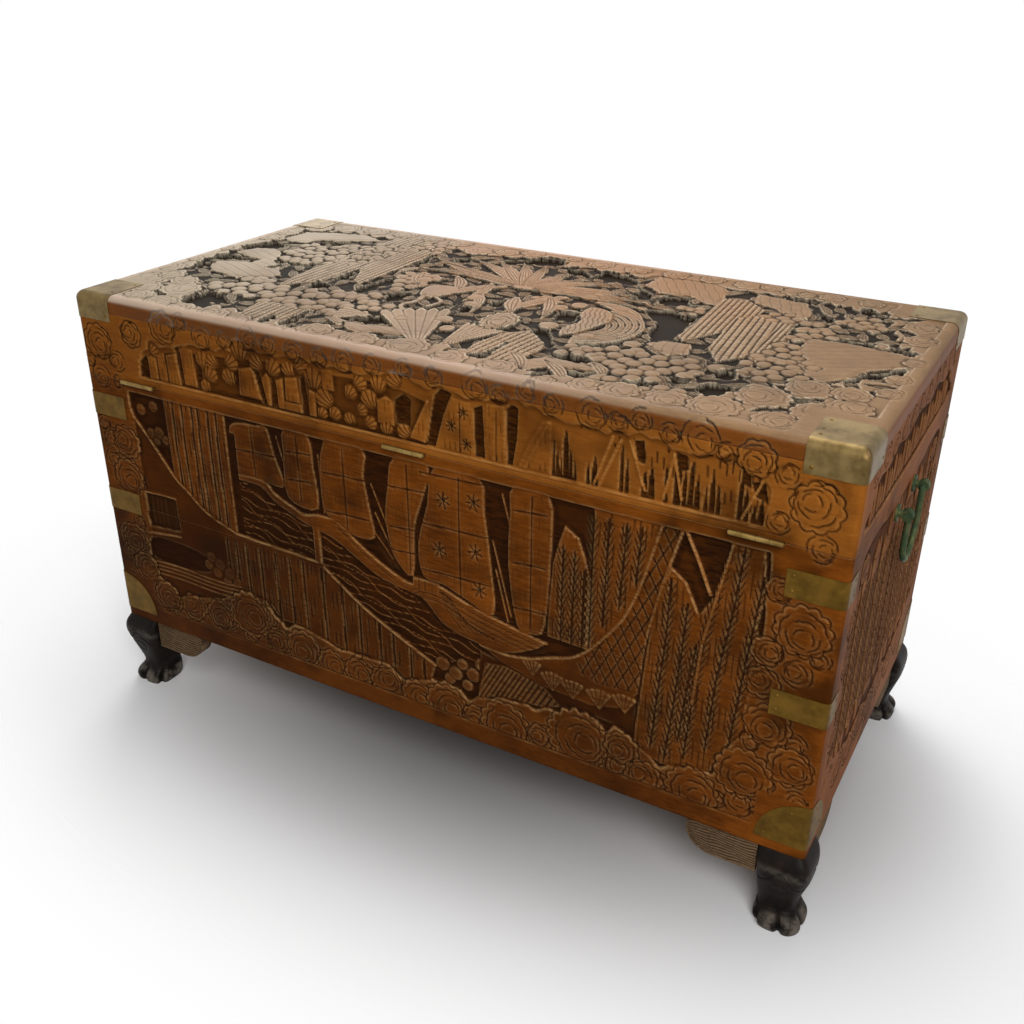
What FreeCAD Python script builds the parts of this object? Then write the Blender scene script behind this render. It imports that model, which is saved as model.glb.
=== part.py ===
import FreeCAD, Part
import os
import re

# A carved camphor-wood chest with a hinged lid, brass corner plates, drop handles on its ends
# and four paw feet. X runs along the chest, the front wall is at -Y and the hinges at +Y, +Z is
# up, and the origin lies on the floor under the middle of the chest. Lengths in millimetres.

SIZES = {
    # the whole chest
    "chest_length": 1000,
    "chest_depth": 490,
    "carcase_height": 370,
    "lid_height": 109,
    "foot_height": 112,
    "seam_gap": 0.4,
    "corner_round": 6,
    "lid_edge_round": 10,
    # boards of the carcase and the lid
    "board_thickness": 20,
    "bottom_thickness": 15,
    "lower_plank_height": 185,
    "rail_thickness": 18,
    "top_thickness": 22,
    "carving_depth": 9,
    "panel_depth": 2.6,
    "groove_width": 6,
    "groove_depth": 3.6,
    "groove_pitch": 42,
    "groove_base": 92,
    "groove_drop": 48,
    "groove_short_drop": 66,
    "dovetail_root": 34,
    "dovetail_flare": 5,
    "lid_dovetail_root": 20,
    "lid_dovetail_flare": 4,
    # strips inside the mouth of the chest
    "lip_thickness": 8,
    "lip_depth": 25,
    "lip_rise": 8,
    # paw feet and their brackets
    "leg_width": 52,
    "knee_height": 84,
    "knee_proud": 10,
    "calf_height": 58,
    "calf_proud": 2,
    "ankle_height": 30,
    "ankle_inset": 4,
    "ankle_width": 44,
    "paw_height": 14,
    "paw_proud": 8,
    "paw_width": 58,
    "sole_round": 3,
    "bracket_length": 83,
    "bracket_height": 43,
    "bracket_thickness": 20,
    "bracket_setback": 3,
    "bracket_round": 31,
    # brass plates and their nails
    "brass_thickness": 0.8,
    "cap_along": 58,
    "cap_deep": 62,
    "cap_drop": 33,
    "strap_along": 60,
    "strap_deep": 30,
    "strap_width": 31,
    "strap_upper_drop": 40,
    "strap_lower_height": 190,
    "plate_radius": 58,
    "plate_height": 13,
    "nail_radius": 0.8,
    "nail_length": 10,
    "nail_head_radius": 2,
    "nail_head_top": 1.2,
    "nail_head_height": 0.6,
    "nail_inset": 7,
    # butt hinges
    "hinge_inset": 93,
    "hinge_length": 55,
    "leaf_width": 15,
    "leaf_thickness": 1.5,
    "mortise_clearance": 0.2,
    "knuckle_radius": 3,
    "knuckle_clearance": 0.5,
    "knuckle_gap": 0.3,
    "pin_radius": 1.4,
    "pin_clearance": 0.05,
    "pin_overhang": 0.8,
    "screw_radius": 1.4,
    "screw_head_radius": 2.8,
    "screw_length": 12,
    "screw_pitch": 18,
    # drop handles
    "handle_drop": 39,
    "handle_half_span": 43,
    "bail_axis_out": 12,
    "bail_radius": 3.5,
    "bail_straight": 38,
    "bail_clearance": 0.3,
    "bail_gap": 0.7,
    "trunnion_overhang": 1.5,
    "eye_radius": 6.5,
    "eye_length": 10,
    "rose_radius": 10,
    "rose_thickness": 2.5,
    "neck_radius": 4.5,
    "shank_radius": 4,
    "rivet_radius": 8,
    "rivet_thickness": 2,
    # box lock in the front wall
    "lock_length": 70,
    "lock_depth": 11,
    "lock_height": 38,
    "lock_wall": 1.5,
    "bolt_length": 46,
    "bolt_set": 6,
    "bolt_height": 16,
    "bolt_clearance": 0.3,
    "finger_height": 6,
    "finger_depth": 2.6,
    "finger_reach": 7,
    "finger_stem": 5,
    "staple_spread": 13,
    "staple_thickness": 3,
    "staple_depth": 6,
    "staple_drop": 13,
    "staple_play": 0.3,
    "slot_play": 0.6,
    "link_length": 60,
    "link_depth": 12,
    "link_thickness": 2,
    "keyhole_drop": 27,
    "keyhole_radius": 2.5,
    "keyhole_slot_width": 2.4,
    "keyhole_slot_length": 8,
    "escutcheon_radius": 22,
    "escutcheon_thickness": 1,
}

CARCASE_DOVETAILS = 5
LID_DOVETAILS = 2
PLANKS = ("front", "middle", "back")
HINGE_KNUCKLES = 4
END_GROOVES = range(-4, 5)

# Signs of the four corners along X and Y, named as seen from the front.
CORNERS = {"front_left": (-1, -1), "front_right": (1, -1), "back_left": (-1, 1), "back_right": (1, 1)}
ENDS = {"left": -1, "right": 1}
WALLS = {"front": -1, "back": 1}

SEAM = "(foot_height + carcase_height)"
LID_BASE = "(foot_height + carcase_height + seam_gap)"
RAIL_HEIGHT = "(lid_height - top_thickness)"
LID_TOP = "(foot_height + carcase_height + seam_gap + lid_height)"
STRAP_LEVELS = {
    "upper": "foot_height + carcase_height - strap_upper_drop",
    "lower": "foot_height + strap_lower_height",
}
PIN_Y = "(chest_depth / 2 + knuckle_radius + knuckle_clearance)"
PIN_Z = "(foot_height + carcase_height + seam_gap / 2)"

doc = FreeCAD.newDocument("CamphorChest")
sheet = doc.addObject("Spreadsheet::Sheet", "Sizes")
for row, (alias, value) in enumerate(SIZES.items(), 1):
    sheet.set("A%d" % row, alias)
    sheet.set("B%d" % row, str(value))
    sheet.setAlias("B%d" % row, alias)
doc.recompute()

nodes = []


def tied(text):
    """An expression with each size's name pointed at its cell."""
    return re.sub(r"[a-z]+(?:_[a-z]+)+", r"Sizes.\g<0>", text)


def bind(made, **expressions):
    """Tie properties of an object to expressions in the sizes."""
    for name, text in expressions.items():
        made.setExpression(name, tied(text))


def put(made, corner, towards=(0, 0, 1)):
    """Turn an object's own +Z to a direction and tie its origin to a place."""
    turn = FreeCAD.Rotation(FreeCAD.Vector(0, 0, 1), FreeCAD.Vector(*towards))
    made.Placement = FreeCAD.Placement(FreeCAD.Vector(), turn)
    for axis, text in zip("xyz", corner):
        made.setExpression("Placement.Base." + axis, tied(text))


def box(name, dimensions, corner):
    """A block with its lowest corner at a place."""
    made = doc.addObject("Part::Box", name)
    bind(made, Length=dimensions[0], Width=dimensions[1], Height=dimensions[2])
    put(made, corner)
    return made


def rod(name, radius, length, start, towards):
    """A round bar from a place towards a direction."""
    made = doc.addObject("Part::Cylinder", name)
    bind(made, Radius=radius, Height=length)
    put(made, start, towards)
    return made


def taper(name, first, last, length, start, towards):
    """A cone frustum from a place towards a direction."""
    made = doc.addObject("Part::Cone", name)
    bind(made, Radius1=first, Radius2=last, Height=length)
    put(made, start, towards)
    return made


def boolean(kind, name, base, tool):
    """Cut or Common of two objects."""
    made = doc.addObject("Part::" + kind, name)
    made.Base = base
    made.Tool = tool
    made.Refine = True
    return made


def joined(name, shapes):
    """Several overlapping or touching objects made one."""
    made = doc.addObject("Part::MultiFuse", name)
    made.Shapes = shapes
    made.Refine = True
    return made


def group(name, shapes):
    """Several solids kept apart in one object."""
    made = doc.addObject("Part::Compound", name)
    made.Links = shapes
    return made


def node(made):
    """Keep an object as a piece of the chest."""
    nodes.append(made)
    return made


def span(sign, half, inward, outward="0"):
    """Lowest place and length of a stretch about the outer face at half, on one side."""
    length = "(%s) + (%s)" % (inward, outward)
    if sign > 0:
        return "%s - (%s)" % (half, inward), length
    return "-(%s) - (%s)" % (half, outward), length


def rounded(name, block, upright, top="0"):
    """A block with its upright edges rounded and, where top is not 0, its top edges too."""
    doc.recompute()
    highest = block.Shape.BoundBox.ZMax
    edges = []
    for number, edge in enumerate(block.Shape.Edges, 1):
        middle = edge.CenterOfMass
        standing = edge.BoundBox.ZLength > 1e-6
        radius = upright if standing else top
        if standing or (radius > 0 and abs(middle.z - highest) < 1e-6):
            edges.append((number, radius, radius))
    made = doc.addObject("Part::Fillet", name)
    made.Base = block
    made.Edges = edges
    return made


def size(name):
    """The number in a size's cell."""
    return float(sheet.get(name))


HALF_LENGTH = "chest_length / 2"
HALF_DEPTH = "chest_depth / 2"


# Outer shapes of the carcase and the lid, and the thin brass skins over them.

def outline(name, proud, base, height, upright, top):
    """A rounded block as large as the chest in plan, grown by proud on its sides."""
    plan = ("chest_length + 2 * %s" % proud, "chest_depth + 2 * %s" % proud, height)
    corner = ("-(%s) - %s" % (HALF_LENGTH, proud), "-(%s) - %s" % (HALF_DEPTH, proud), base)
    return rounded(name, box(name + "_block", plan, corner), upright, top)


corner_round = size("corner_round")
lid_round = size("lid_edge_round")
brass = size("brass_thickness")
carcase_outline = outline("carcase_outline", "0 * brass_thickness", "foot_height", "carcase_height",
                          corner_round, 0)
lid_outline = outline("lid_outline", "0 * brass_thickness", LID_BASE, "lid_height",
                      corner_round, lid_round)
carcase_over = outline("carcase_over", "brass_thickness", "foot_height", "carcase_height",
                       corner_round + brass, 0)
lid_over = outline("lid_over", "brass_thickness", LID_BASE, "lid_height + brass_thickness",
                   corner_round + brass, lid_round + brass)
carcase_skin = boolean("Cut", "carcase_skin", carcase_over, carcase_outline)
lid_skin = boolean("Cut", "lid_skin", lid_over, lid_outline)


# Brass nails: a tapered head on the plate and a shank driven into the wood.

def nail(name, spot, outward):
    """A nail whose head stands on the plate's face at spot and points outward."""
    inward = tuple(-part for part in outward)
    shank = rod(name + "_shank", "nail_radius", "nail_length", spot, inward)
    head = taper(name + "_head", "nail_head_radius", "nail_head_top", "nail_head_height", spot, outward)
    return joined(name, [shank, head])


def wall_face(sy):
    """Outer face of the brass on a long wall."""
    return "%d * (%s + brass_thickness)" % (sy, HALF_DEPTH)


def end_face(sx):
    """Outer face of the brass on an end."""
    return "%d * (%s + brass_thickness)" % (sx, HALF_LENGTH)


def along(sx, inset):
    """A place measured inwards from an end."""
    return "%d * (%s - (%s))" % (sx, HALF_LENGTH, inset)


def deep(sy, inset):
    """A place measured inwards from a long wall."""
    return "%d * (%s - (%s))" % (sy, HALF_DEPTH, inset)


lid_nails = []
carcase_nails = []
for corner, (sx, sy) in CORNERS.items():
    cap_x = along(sx, "cap_along - nail_inset")
    cap_y = deep(sy, "cap_deep - nail_inset")
    cap_z = LID_TOP + " - cap_drop + nail_inset"
    on_top = LID_TOP + " + brass_thickness"
    inner_y = deep(sy, "lid_edge_round + nail_inset")
    lid_nails.append(nail("cap_nail_top_" + corner, (cap_x, cap_y, on_top), (0, 0, 1)))
    lid_nails.append(nail("cap_nail_rim_" + corner, (cap_x, inner_y, on_top), (0, 0, 1)))
    lid_nails.append(nail("cap_nail_wall_" + corner, (cap_x, wall_face(sy), cap_z), (0, sy, 0)))
    lid_nails.append(nail("cap_nail_end_" + corner, (end_face(sx), cap_y, cap_z), (sx, 0, 0)))
    for level, strap_z in STRAP_LEVELS.items():
        for way in (-1, 1):
            name = "strap_nail_%s_%s_%s" % (corner, level, "top" if way > 0 else "base")
            high = "%s + %d * (strap_width / 2 - nail_inset)" % (strap_z, way)
            wall_spot = (along(sx, "strap_along - nail_inset"), wall_face(sy), high)
            end_spot = (end_face(sx), deep(sy, "strap_deep - nail_inset"), high)
            carcase_nails.append(nail(name + "_wall", wall_spot, (0, sy, 0)))
            carcase_nails.append(nail(name + "_end", end_spot, (sx, 0, 0)))
    far = "plate_radius - 1.5 * nail_inset"
    near = "3 * nail_inset"
    for name, out, up in (("far", far, "nail_inset"), ("high", near, "plate_radius - 2 * nail_inset")):
        high = "foot_height + plate_height + " + up
        name = "plate_nail_%s_%s" % (corner, name)
        carcase_nails.append(nail(name + "_wall", (along(sx, out), wall_face(sy), high), (0, sy, 0)))
        carcase_nails.append(nail(name + "_end", (end_face(sx), deep(sy, out), high), (sx, 0, 0)))
brass_nails_carcase = node(group("brass_nails_carcase", carcase_nails))
brass_nails_lid = node(group("brass_nails_lid", lid_nails))


# Brass plates: corner caps of the lid, straps round the carcase corners, quarter-round base plates.

for corner, (sx, sy) in CORNERS.items():
    x_low, x_run = span(sx, HALF_LENGTH, "cap_along", "2 * brass_thickness")
    y_low, y_run = span(sy, HALF_DEPTH, "cap_deep", "2 * brass_thickness")
    region = box("cap_region_" + corner, (x_run, y_run, "cap_drop + 2 * brass_thickness"),
                 (x_low, y_low, LID_TOP + " - cap_drop"))
    cap = boolean("Common", "cap_blank_" + corner, lid_skin, region)
    node(boolean("Cut", "lid_corner_cap_" + corner, cap, brass_nails_lid))

    straps = []
    for level, strap_z in STRAP_LEVELS.items():
        x_low, x_run = span(sx, HALF_LENGTH, "strap_along", "2 * brass_thickness")
        y_low, y_run = span(sy, HALF_DEPTH, "strap_deep", "2 * brass_thickness")
        region = box("strap_region_%s_%s" % (corner, level), (x_run, y_run, "strap_width"),
                     (x_low, y_low, strap_z + " - strap_width / 2"))
        strap = boolean("Common", "strap_blank_%s_%s" % (corner, level), carcase_skin, region)
        straps.append(boolean("Cut", "strap_%s_%s" % (corner, level), strap, brass_nails_carcase))
    node(group("corner_straps_" + corner, straps))

    foot_line = "foot_height + plate_height"
    wall_start = deep(sy, "corner_round")
    end_start = along(sx, "corner_round")
    wall_disc = rod("plate_wall_disc_" + corner, "plate_radius", "corner_round + 2 * brass_thickness",
                    (along(sx, "0 * plate_radius"), wall_start, foot_line), (0, sy, 0))
    end_disc = rod("plate_end_disc_" + corner, "plate_radius", "corner_round + 2 * brass_thickness",
                   (end_start, deep(sy, "0 * plate_radius"), foot_line), (sx, 0, 0))
    discs = joined("plate_discs_" + corner, [wall_disc, end_disc])
    x_low, x_run = span(sx, HALF_LENGTH, "plate_radius", "2 * brass_thickness")
    y_low, y_run = span(sy, HALF_DEPTH, "plate_radius", "2 * brass_thickness")
    region = box("plate_region_" + corner, (x_run, y_run, "plate_radius"), (x_low, y_low, foot_line))
    quarter = boolean("Common", "plate_quarter_" + corner, discs, region)
    plate = boolean("Common", "plate_blank_" + corner, carcase_skin, quarter)
    node(boolean("Cut", "base_corner_plate_" + corner, plate, brass_nails_carcase))


# Dovetails: each end board carries tails, and the long walls have the sockets.

def tails(name, sx, sy, base, height, thickness, root, flare, count):
    """Tails of one corner, wider at the outer face of the long wall."""
    made = []
    x_low, _ = span(sx, HALF_LENGTH, thickness)
    y_low, _ = span(sy, HALF_DEPTH, thickness)
    root_half = "(%s / 2)" % root
    tip_half = "(%s / 2 + %s)" % (root, flare)
    first, last = (root_half, tip_half) if sy > 0 else (tip_half, root_half)
    for number in range(count):
        tail = doc.addObject("Part::Wedge", "%s_%d" % (name, number))
        bind(tail, Xmin="0 * " + thickness, Xmax=thickness, X2min="0 * " + thickness, X2max=thickness)
        bind(tail, Ymin="0 * " + thickness, Ymax=thickness)
        bind(tail, Zmin="-" + first, Zmax=first, Z2min="-" + last, Z2max=last)
        put(tail, (x_low, y_low, "%s + %s * %g" % (base, height, (number + 0.5) / count)))
        made.append(tail)
    return made


def tail_sets(name, *sizes):
    """The tails of all four corners."""
    return {corner: tails("%s_%s" % (name, corner), sx, sy, *sizes) for corner, (sx, sy) in CORNERS.items()}


carcase_tails = tail_sets("carcase_tail", "foot_height", "carcase_height", "board_thickness",
                          "dovetail_root", "dovetail_flare", CARCASE_DOVETAILS)
lid_tails = tail_sets("lid_tail", LID_BASE, RAIL_HEIGHT, "rail_thickness",
                      "lid_dovetail_root", "lid_dovetail_flare", LID_DOVETAILS)


def end_piece(name, side, base, height, thickness, tail_set, within):
    """An end board with tails on both edges, rounded with the outline."""
    sx = ENDS[side]
    x_low, x_run = span(sx, HALF_LENGTH, thickness)
    core = box(name + "_core", (x_run, "chest_depth - 2 * " + thickness, height),
               (x_low, "-(%s) + %s" % (HALF_DEPTH, thickness), base))
    whole = joined(name + "_blank", [core] + tail_set["front_" + side] + tail_set["back_" + side])
    return boolean("Common", name + "_round", whole, within)


def wall_piece(name, wall, base, height, thickness, tail_set, within):
    """A long wall with sockets for the tails of both ends, rounded with the outline."""
    y_low, y_run = span(WALLS[wall], HALF_DEPTH, thickness)
    blank = box(name + "_blank", ("chest_length", y_run, height), ("-(%s)" % HALF_LENGTH, y_low, base))
    sockets = group(name + "_sockets", tail_set[wall + "_left"] + tail_set[wall + "_right"])
    return boolean("Common", name + "_round", boolean("Cut", name + "_socketed", blank, sockets), within)


# Drop handles: posts riveted through the end boards and a bail that hangs in their eyes.

HANDLE_Z = "(foot_height + carcase_height - handle_drop)"
ARM_Y = "(handle_half_span - eye_length / 2 - bail_radius - bail_gap)"
TRUNNION_END = "(handle_half_span + eye_length / 2 + trunnion_overhang)"


def handle_post(name, sx, sy):
    """Rose, neck, eye and shank of one post, and the shank alone for its hole."""
    axis_x = "%d * (%s + bail_axis_out)" % (sx, HALF_LENGTH)
    post_y = "%d * handle_half_span" % sy
    face = ("%d * (%s)" % (sx, HALF_LENGTH), post_y, HANDLE_Z)
    inside = ("%d * (%s - board_thickness)" % (sx, HALF_LENGTH), post_y, HANDLE_Z)
    rose = rod(name + "_rose", "rose_radius", "rose_thickness", face, (sx, 0, 0))
    neck = rod(name + "_neck", "neck_radius", "bail_axis_out", face, (sx, 0, 0))
    eye = rod(name + "_eye", "eye_radius", "eye_length",
              (axis_x, post_y + " - eye_length / 2", HANDLE_Z), (0, 1, 0))
    shank = rod(name + "_shank", "shank_radius", "board_thickness", face, (-sx, 0, 0))
    rivet = rod(name + "_rivet", "rivet_radius", "rivet_thickness", inside, (-sx, 0, 0))
    bore = rod(name + "_bore", "bail_radius + bail_clearance", "2 * eye_length",
               (axis_x, post_y + " - eye_length", HANDLE_Z), (0, 1, 0))
    whole = joined(name + "_whole", [rose, neck, eye, shank, rivet])
    return boolean("Cut", name, whole, bore), shank


def bail(name, sx):
    """A U of round bar whose ends turn outwards into the eyes of the posts."""
    axis_x = "%d * (%s + bail_axis_out)" % (sx, HALF_LENGTH)
    bend_z = HANDLE_Z + " - bail_straight"
    bars = []
    for sy in (-1, 1):
        arm_y = "%d * %s" % (sy, ARM_Y)
        label = "%s_%s" % (name, "back" if sy > 0 else "front")
        bars.append(rod(label + "_trunnion", "bail_radius", "%s - %s" % (TRUNNION_END, ARM_Y),
                        (axis_x, arm_y, HANDLE_Z), (0, sy, 0)))
        bars.append(rod(label + "_arm", "bail_radius", "bail_straight", (axis_x, arm_y, bend_z), (0, 0, 1)))
        elbow = doc.addObject("Part::Sphere", label + "_elbow")
        bind(elbow, Radius="bail_radius")
        put(elbow, (axis_x, arm_y, HANDLE_Z))
        bars.append(elbow)
    bow = doc.addObject("Part::Torus", name + "_bow")
    bind(bow, Radius1=ARM_Y, Radius2="bail_radius")
    bow.Angle3 = 180
    put(bow, (axis_x, "0 * bail_radius", bend_z))
    across, down, inward = FreeCAD.Vector(0, 1, 0), FreeCAD.Vector(0, 0, -1), FreeCAD.Vector(-1, 0, 0)
    turn = FreeCAD.Rotation(across, down, inward, "XYZ")
    bow.Placement = FreeCAD.Placement(bow.Placement.Base, turn)
    return joined(name, bars + [bow])


shanks = {}
for side, sx in ENDS.items():
    front_post, front_shank = handle_post("post_%s_front" % side, sx, -1)
    back_post, back_shank = handle_post("post_%s_back" % side, sx, 1)
    node(group("handle_posts_" + side, [front_post, back_post]))
    node(bail("handle_bail_" + side, sx))
    shanks[side] = [front_shank, back_shank]


# Butt hinges let into the back edges, with countersunk screws.

def knuckle_start(centre, number):
    """Where a knuckle of a hinge begins along X."""
    step = "%d * hinge_length / %d" % (number, HINGE_KNUCKLES)
    return "%s - hinge_length / 2 + %s + knuckle_gap / 2" % (centre, step)


def leaf(name, centre, base, first_knuckle, screws):
    """A leaf with every second knuckle, bored for the pin and drilled for its screws."""
    start = "%s - hinge_length / 2" % centre
    plate = box(name + "_plate", ("hinge_length", "leaf_width", "leaf_thickness"),
                (start, HALF_DEPTH + " - leaf_width", base))
    shapes = [plate]
    run = "hinge_length / %d - knuckle_gap" % HINGE_KNUCKLES
    for number in range(first_knuckle, HINGE_KNUCKLES, 2):
        begin = knuckle_start(centre, number)
        shapes.append(box("%s_tab_%d" % (name, number),
                          (run, "knuckle_radius + knuckle_clearance", "leaf_thickness"),
                          (begin, HALF_DEPTH, base)))
        shapes.append(rod("%s_knuckle_%d" % (name, number), "knuckle_radius", run,
                          (begin, PIN_Y, PIN_Z), (1, 0, 0)))
    bore = rod(name + "_bore", "pin_radius + pin_clearance", "hinge_length", (start, PIN_Y, PIN_Z), (1, 0, 0))
    bored = boolean("Cut", name + "_bored", joined(name + "_whole", shapes), bore)
    return boolean("Cut", name, bored, group(name + "_holes", screws))


def screw(name, centre, step, base, way):
    """A countersunk screw, its head flush with the leaf's face at base, driven along Z."""
    place_x = "%s + %d * screw_pitch" % (centre, step)
    place_y = HALF_DEPTH + " - leaf_width / 2"
    head = taper(name + "_head", "screw_head_radius", "screw_radius", "leaf_thickness",
                 (place_x, place_y, base), (0, 0, way))
    shank = rod(name + "_shank", "screw_radius", "screw_length",
                (place_x, place_y, "%s + %d * leaf_thickness" % (base, way)), (0, 0, way))
    return joined(name, [head, shank])


pins = []
body_screws = []
lid_screws = []
body_mortises = []
lid_mortises = []
for place, sign in (("left", -1), ("middle", 0), ("right", 1)):
    centre = "%d * (%s - hinge_inset)" % (sign, HALF_LENGTH)
    steps = (-1, 0, 1)
    down = [screw("hinge_%s_body_screw_%d" % (place, step + 1), centre, step, SEAM, -1) for step in steps]
    up = [screw("hinge_%s_lid_screw_%d" % (place, step + 1), centre, step, LID_BASE, 1) for step in steps]
    node(leaf("hinge_%s_body_leaf" % place, centre, SEAM + " - leaf_thickness", 0, down))
    node(leaf("hinge_%s_lid_leaf" % place, centre, LID_BASE, 1, up))
    pins.append(rod("hinge_%s_pin" % place, "pin_radius", "hinge_length + 2 * pin_overhang",
                    ("%s - hinge_length / 2 - pin_overhang" % centre, PIN_Y, PIN_Z), (1, 0, 0)))
    recess = ("hinge_length + 2 * mortise_clearance", "leaf_width + mortise_clearance", "leaf_thickness")
    recess_x = "%s - hinge_length / 2 - mortise_clearance" % centre
    recess_y = HALF_DEPTH + " - leaf_width - mortise_clearance"
    body_mortises.append(box("hinge_%s_body_mortise" % place, recess,
                             (recess_x, recess_y, SEAM + " - leaf_thickness")))
    lid_mortises.append(box("hinge_%s_lid_mortise" % place, recess, (recess_x, recess_y, LID_BASE)))
    body_screws += down
    lid_screws += up
node(group("hinge_pins", pins))
node(group("hinge_screws_carcase", body_screws))
node(group("hinge_screws_lid", lid_screws))


# Box lock: a case let into the front wall from inside, a sliding bolt, a link plate on the lid.

LOCK_BACK = "(-(%s) + board_thickness)" % HALF_DEPTH
LOCK_FRONT = "(-(%s) + board_thickness - lock_depth)" % HALF_DEPTH
LOCK_MIDDLE = "(-(%s) + board_thickness - lock_depth / 2)" % HALF_DEPTH
CAVITY_BASE = "(foot_height + carcase_height - lock_height + lock_wall)"
FINGER_Z = "(foot_height + carcase_height - staple_drop / 2 - lock_wall)"
EYE_CLEAR = "2 * staple_play"

lock_block = box("lock_block", ("lock_length", "lock_depth", "lock_height"),
                 ("-lock_length / 2", LOCK_FRONT, SEAM + " - lock_height"))
cavity = tuple(outer + " - 2 * lock_wall" for outer in ("lock_length", "lock_depth", "lock_height"))
lock_cavity = box("lock_cavity", cavity,
                  ("-lock_length / 2 + lock_wall", LOCK_FRONT + " + lock_wall", CAVITY_BASE))
keyhole_z = SEAM + " - keyhole_drop"
keyhole_start = "-(%s) - 2 * escutcheon_thickness" % HALF_DEPTH
keyhole_run = "board_thickness - lock_depth + lock_wall + 2 * escutcheon_thickness"
keyhole_round = rod("keyhole_round", "keyhole_radius", keyhole_run,
                    ("0 * keyhole_radius", keyhole_start, keyhole_z), (0, 1, 0))
keyhole_slot = box("keyhole_slot", ("keyhole_slot_width", keyhole_run, "keyhole_slot_length"),
                   ("-keyhole_slot_width / 2", keyhole_start, keyhole_z + " - keyhole_slot_length"))
keyhole = joined("keyhole", [keyhole_round, keyhole_slot])

slots = []
staples = []
bolt_bars = []
eyes = []
bolt_x = "-bolt_length / 2 - bolt_set"
bolt_depth = "lock_depth - 2 * lock_wall - 2 * bolt_clearance"
bolt_base = CAVITY_BASE + " + bolt_clearance"
bolt_bars.append(box("bolt_plate", ("bolt_length", bolt_depth, "bolt_height"),
                     (bolt_x, LOCK_FRONT + " + lock_wall + bolt_clearance", bolt_base)))
for side, sx in ENDS.items():
    staple_x = "%d * staple_spread" % sx
    slots.append(box("staple_slot_" + side,
                     ("staple_thickness + 2 * slot_play", "staple_depth + 2 * slot_play", "2 * lock_wall"),
                     (staple_x + " - staple_thickness / 2 - slot_play",
                      LOCK_MIDDLE + " - staple_depth / 2 - slot_play", SEAM + " - lock_wall")))
    staples.append(box("staple_" + side, ("staple_thickness", "staple_depth", "staple_drop + seam_gap"),
                       (staple_x + " - staple_thickness / 2", LOCK_MIDDLE + " - staple_depth / 2",
                        LID_BASE + " - staple_drop - seam_gap")))
    eyes.append(box("staple_eye_" + side,
                    ("2 * staple_thickness", "finger_depth + " + EYE_CLEAR, "finger_height + " + EYE_CLEAR),
                    (staple_x + " - staple_thickness", LOCK_MIDDLE + " - finger_depth / 2 - staple_play",
                     FINGER_Z + " - finger_height / 2 - staple_play")))
    tip_x = staple_x + " - staple_thickness / 2 - 2 * staple_play"
    root_x = tip_x + " - finger_reach - finger_stem"
    finger_y = LOCK_MIDDLE + " - finger_depth / 2"
    finger = ("finger_reach + finger_stem", "finger_depth", "finger_height")
    bolt_bars.append(box("bolt_finger_" + side, finger,
                         (root_x, finger_y, FINGER_Z + " - finger_height / 2")))
    stem_height = "%s + finger_height / 2 - (%s)" % (FINGER_Z, bolt_base)
    bolt_bars.append(box("bolt_stem_" + side, ("finger_stem", "finger_depth", stem_height),
                         (root_x, finger_y, bolt_base)))
lock_hollow = boolean("Cut", "lock_hollow", lock_block, group("lock_openings", [lock_cavity] + slots))
node(boolean("Cut", "lock_case", lock_hollow, keyhole))
node(joined("lock_bolt", bolt_bars))
link_plate = box("link_plate", ("link_length", "link_depth", "link_thickness"),
                 ("-link_length / 2", "-(%s) + rail_thickness - link_depth" % HALF_DEPTH, LID_BASE))
link_whole = joined("link_whole", [link_plate] + staples)
node(boolean("Cut", "lock_link_plate", link_whole, group("staple_eyes", eyes)))
escutcheon_disc = rod("escutcheon_disc", "escutcheon_radius", "escutcheon_thickness",
                      ("0 * escutcheon_radius", "-(%s)" % HALF_DEPTH, keyhole_z), (0, -1, 0))
node(boolean("Cut", "keyhole_plate", escutcheon_disc, keyhole))


# Walls and ends of the carcase. Each long wall is two planks glued edge to edge, and deep grooves
# part the carved bundles of bamboo on each end.

def groove(name, sx, number):
    """A groove down an end, counted from its middle; the two under the handle's posts are shorter."""
    x_low, x_run = span(sx, HALF_LENGTH, "groove_depth", "groove_depth")
    drop = "groove_short_drop" if abs(number) == 1 else "groove_drop"
    return box(name, (x_run, "groove_width", "carcase_height - groove_base - " + drop),
               (x_low, "%d * groove_pitch - groove_width / 2" % number, "foot_height + groove_base"))


front_cuts = [lock_block, keyhole, brass_nails_carcase]
back_cuts = body_mortises + body_screws + [brass_nails_carcase]
for wall, cuts in (("front", front_cuts), ("back", back_cuts)):
    whole = wall_piece("wall_" + wall, wall, "foot_height", "carcase_height", "board_thickness",
                       carcase_tails, carcase_outline)
    worked = boolean("Cut", "wall_%s_worked" % wall, whole, group("wall_%s_cuts" % wall, cuts))
    y_low, y_run = span(WALLS[wall], HALF_DEPTH, "board_thickness")
    levels = (("lower", "foot_height", "lower_plank_height"),
              ("upper", "foot_height + lower_plank_height", "carcase_height - lower_plank_height"))
    for level, base, height in levels:
        name = "%s_plank_%s" % (wall, level)
        region = box(name + "_region", ("chest_length", y_run, height), ("-(%s)" % HALF_LENGTH, y_low, base))
        node(boolean("Common", name, worked, region))
for side, sx in ENDS.items():
    whole = end_piece("end_" + side, side, "foot_height", "carcase_height", "board_thickness",
                      carcase_tails, carcase_outline)
    grooves = [groove("groove_%s_%d" % (side, place), sx, number) for place, number in enumerate(END_GROOVES)]
    cuts = group("end_%s_cuts" % side, shanks[side] + grooves + [brass_nails_carcase])
    node(boolean("Cut", "end_board_" + side, whole, cuts))


# Bottom planks between the walls, and the dust lips round the mouth.

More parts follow.
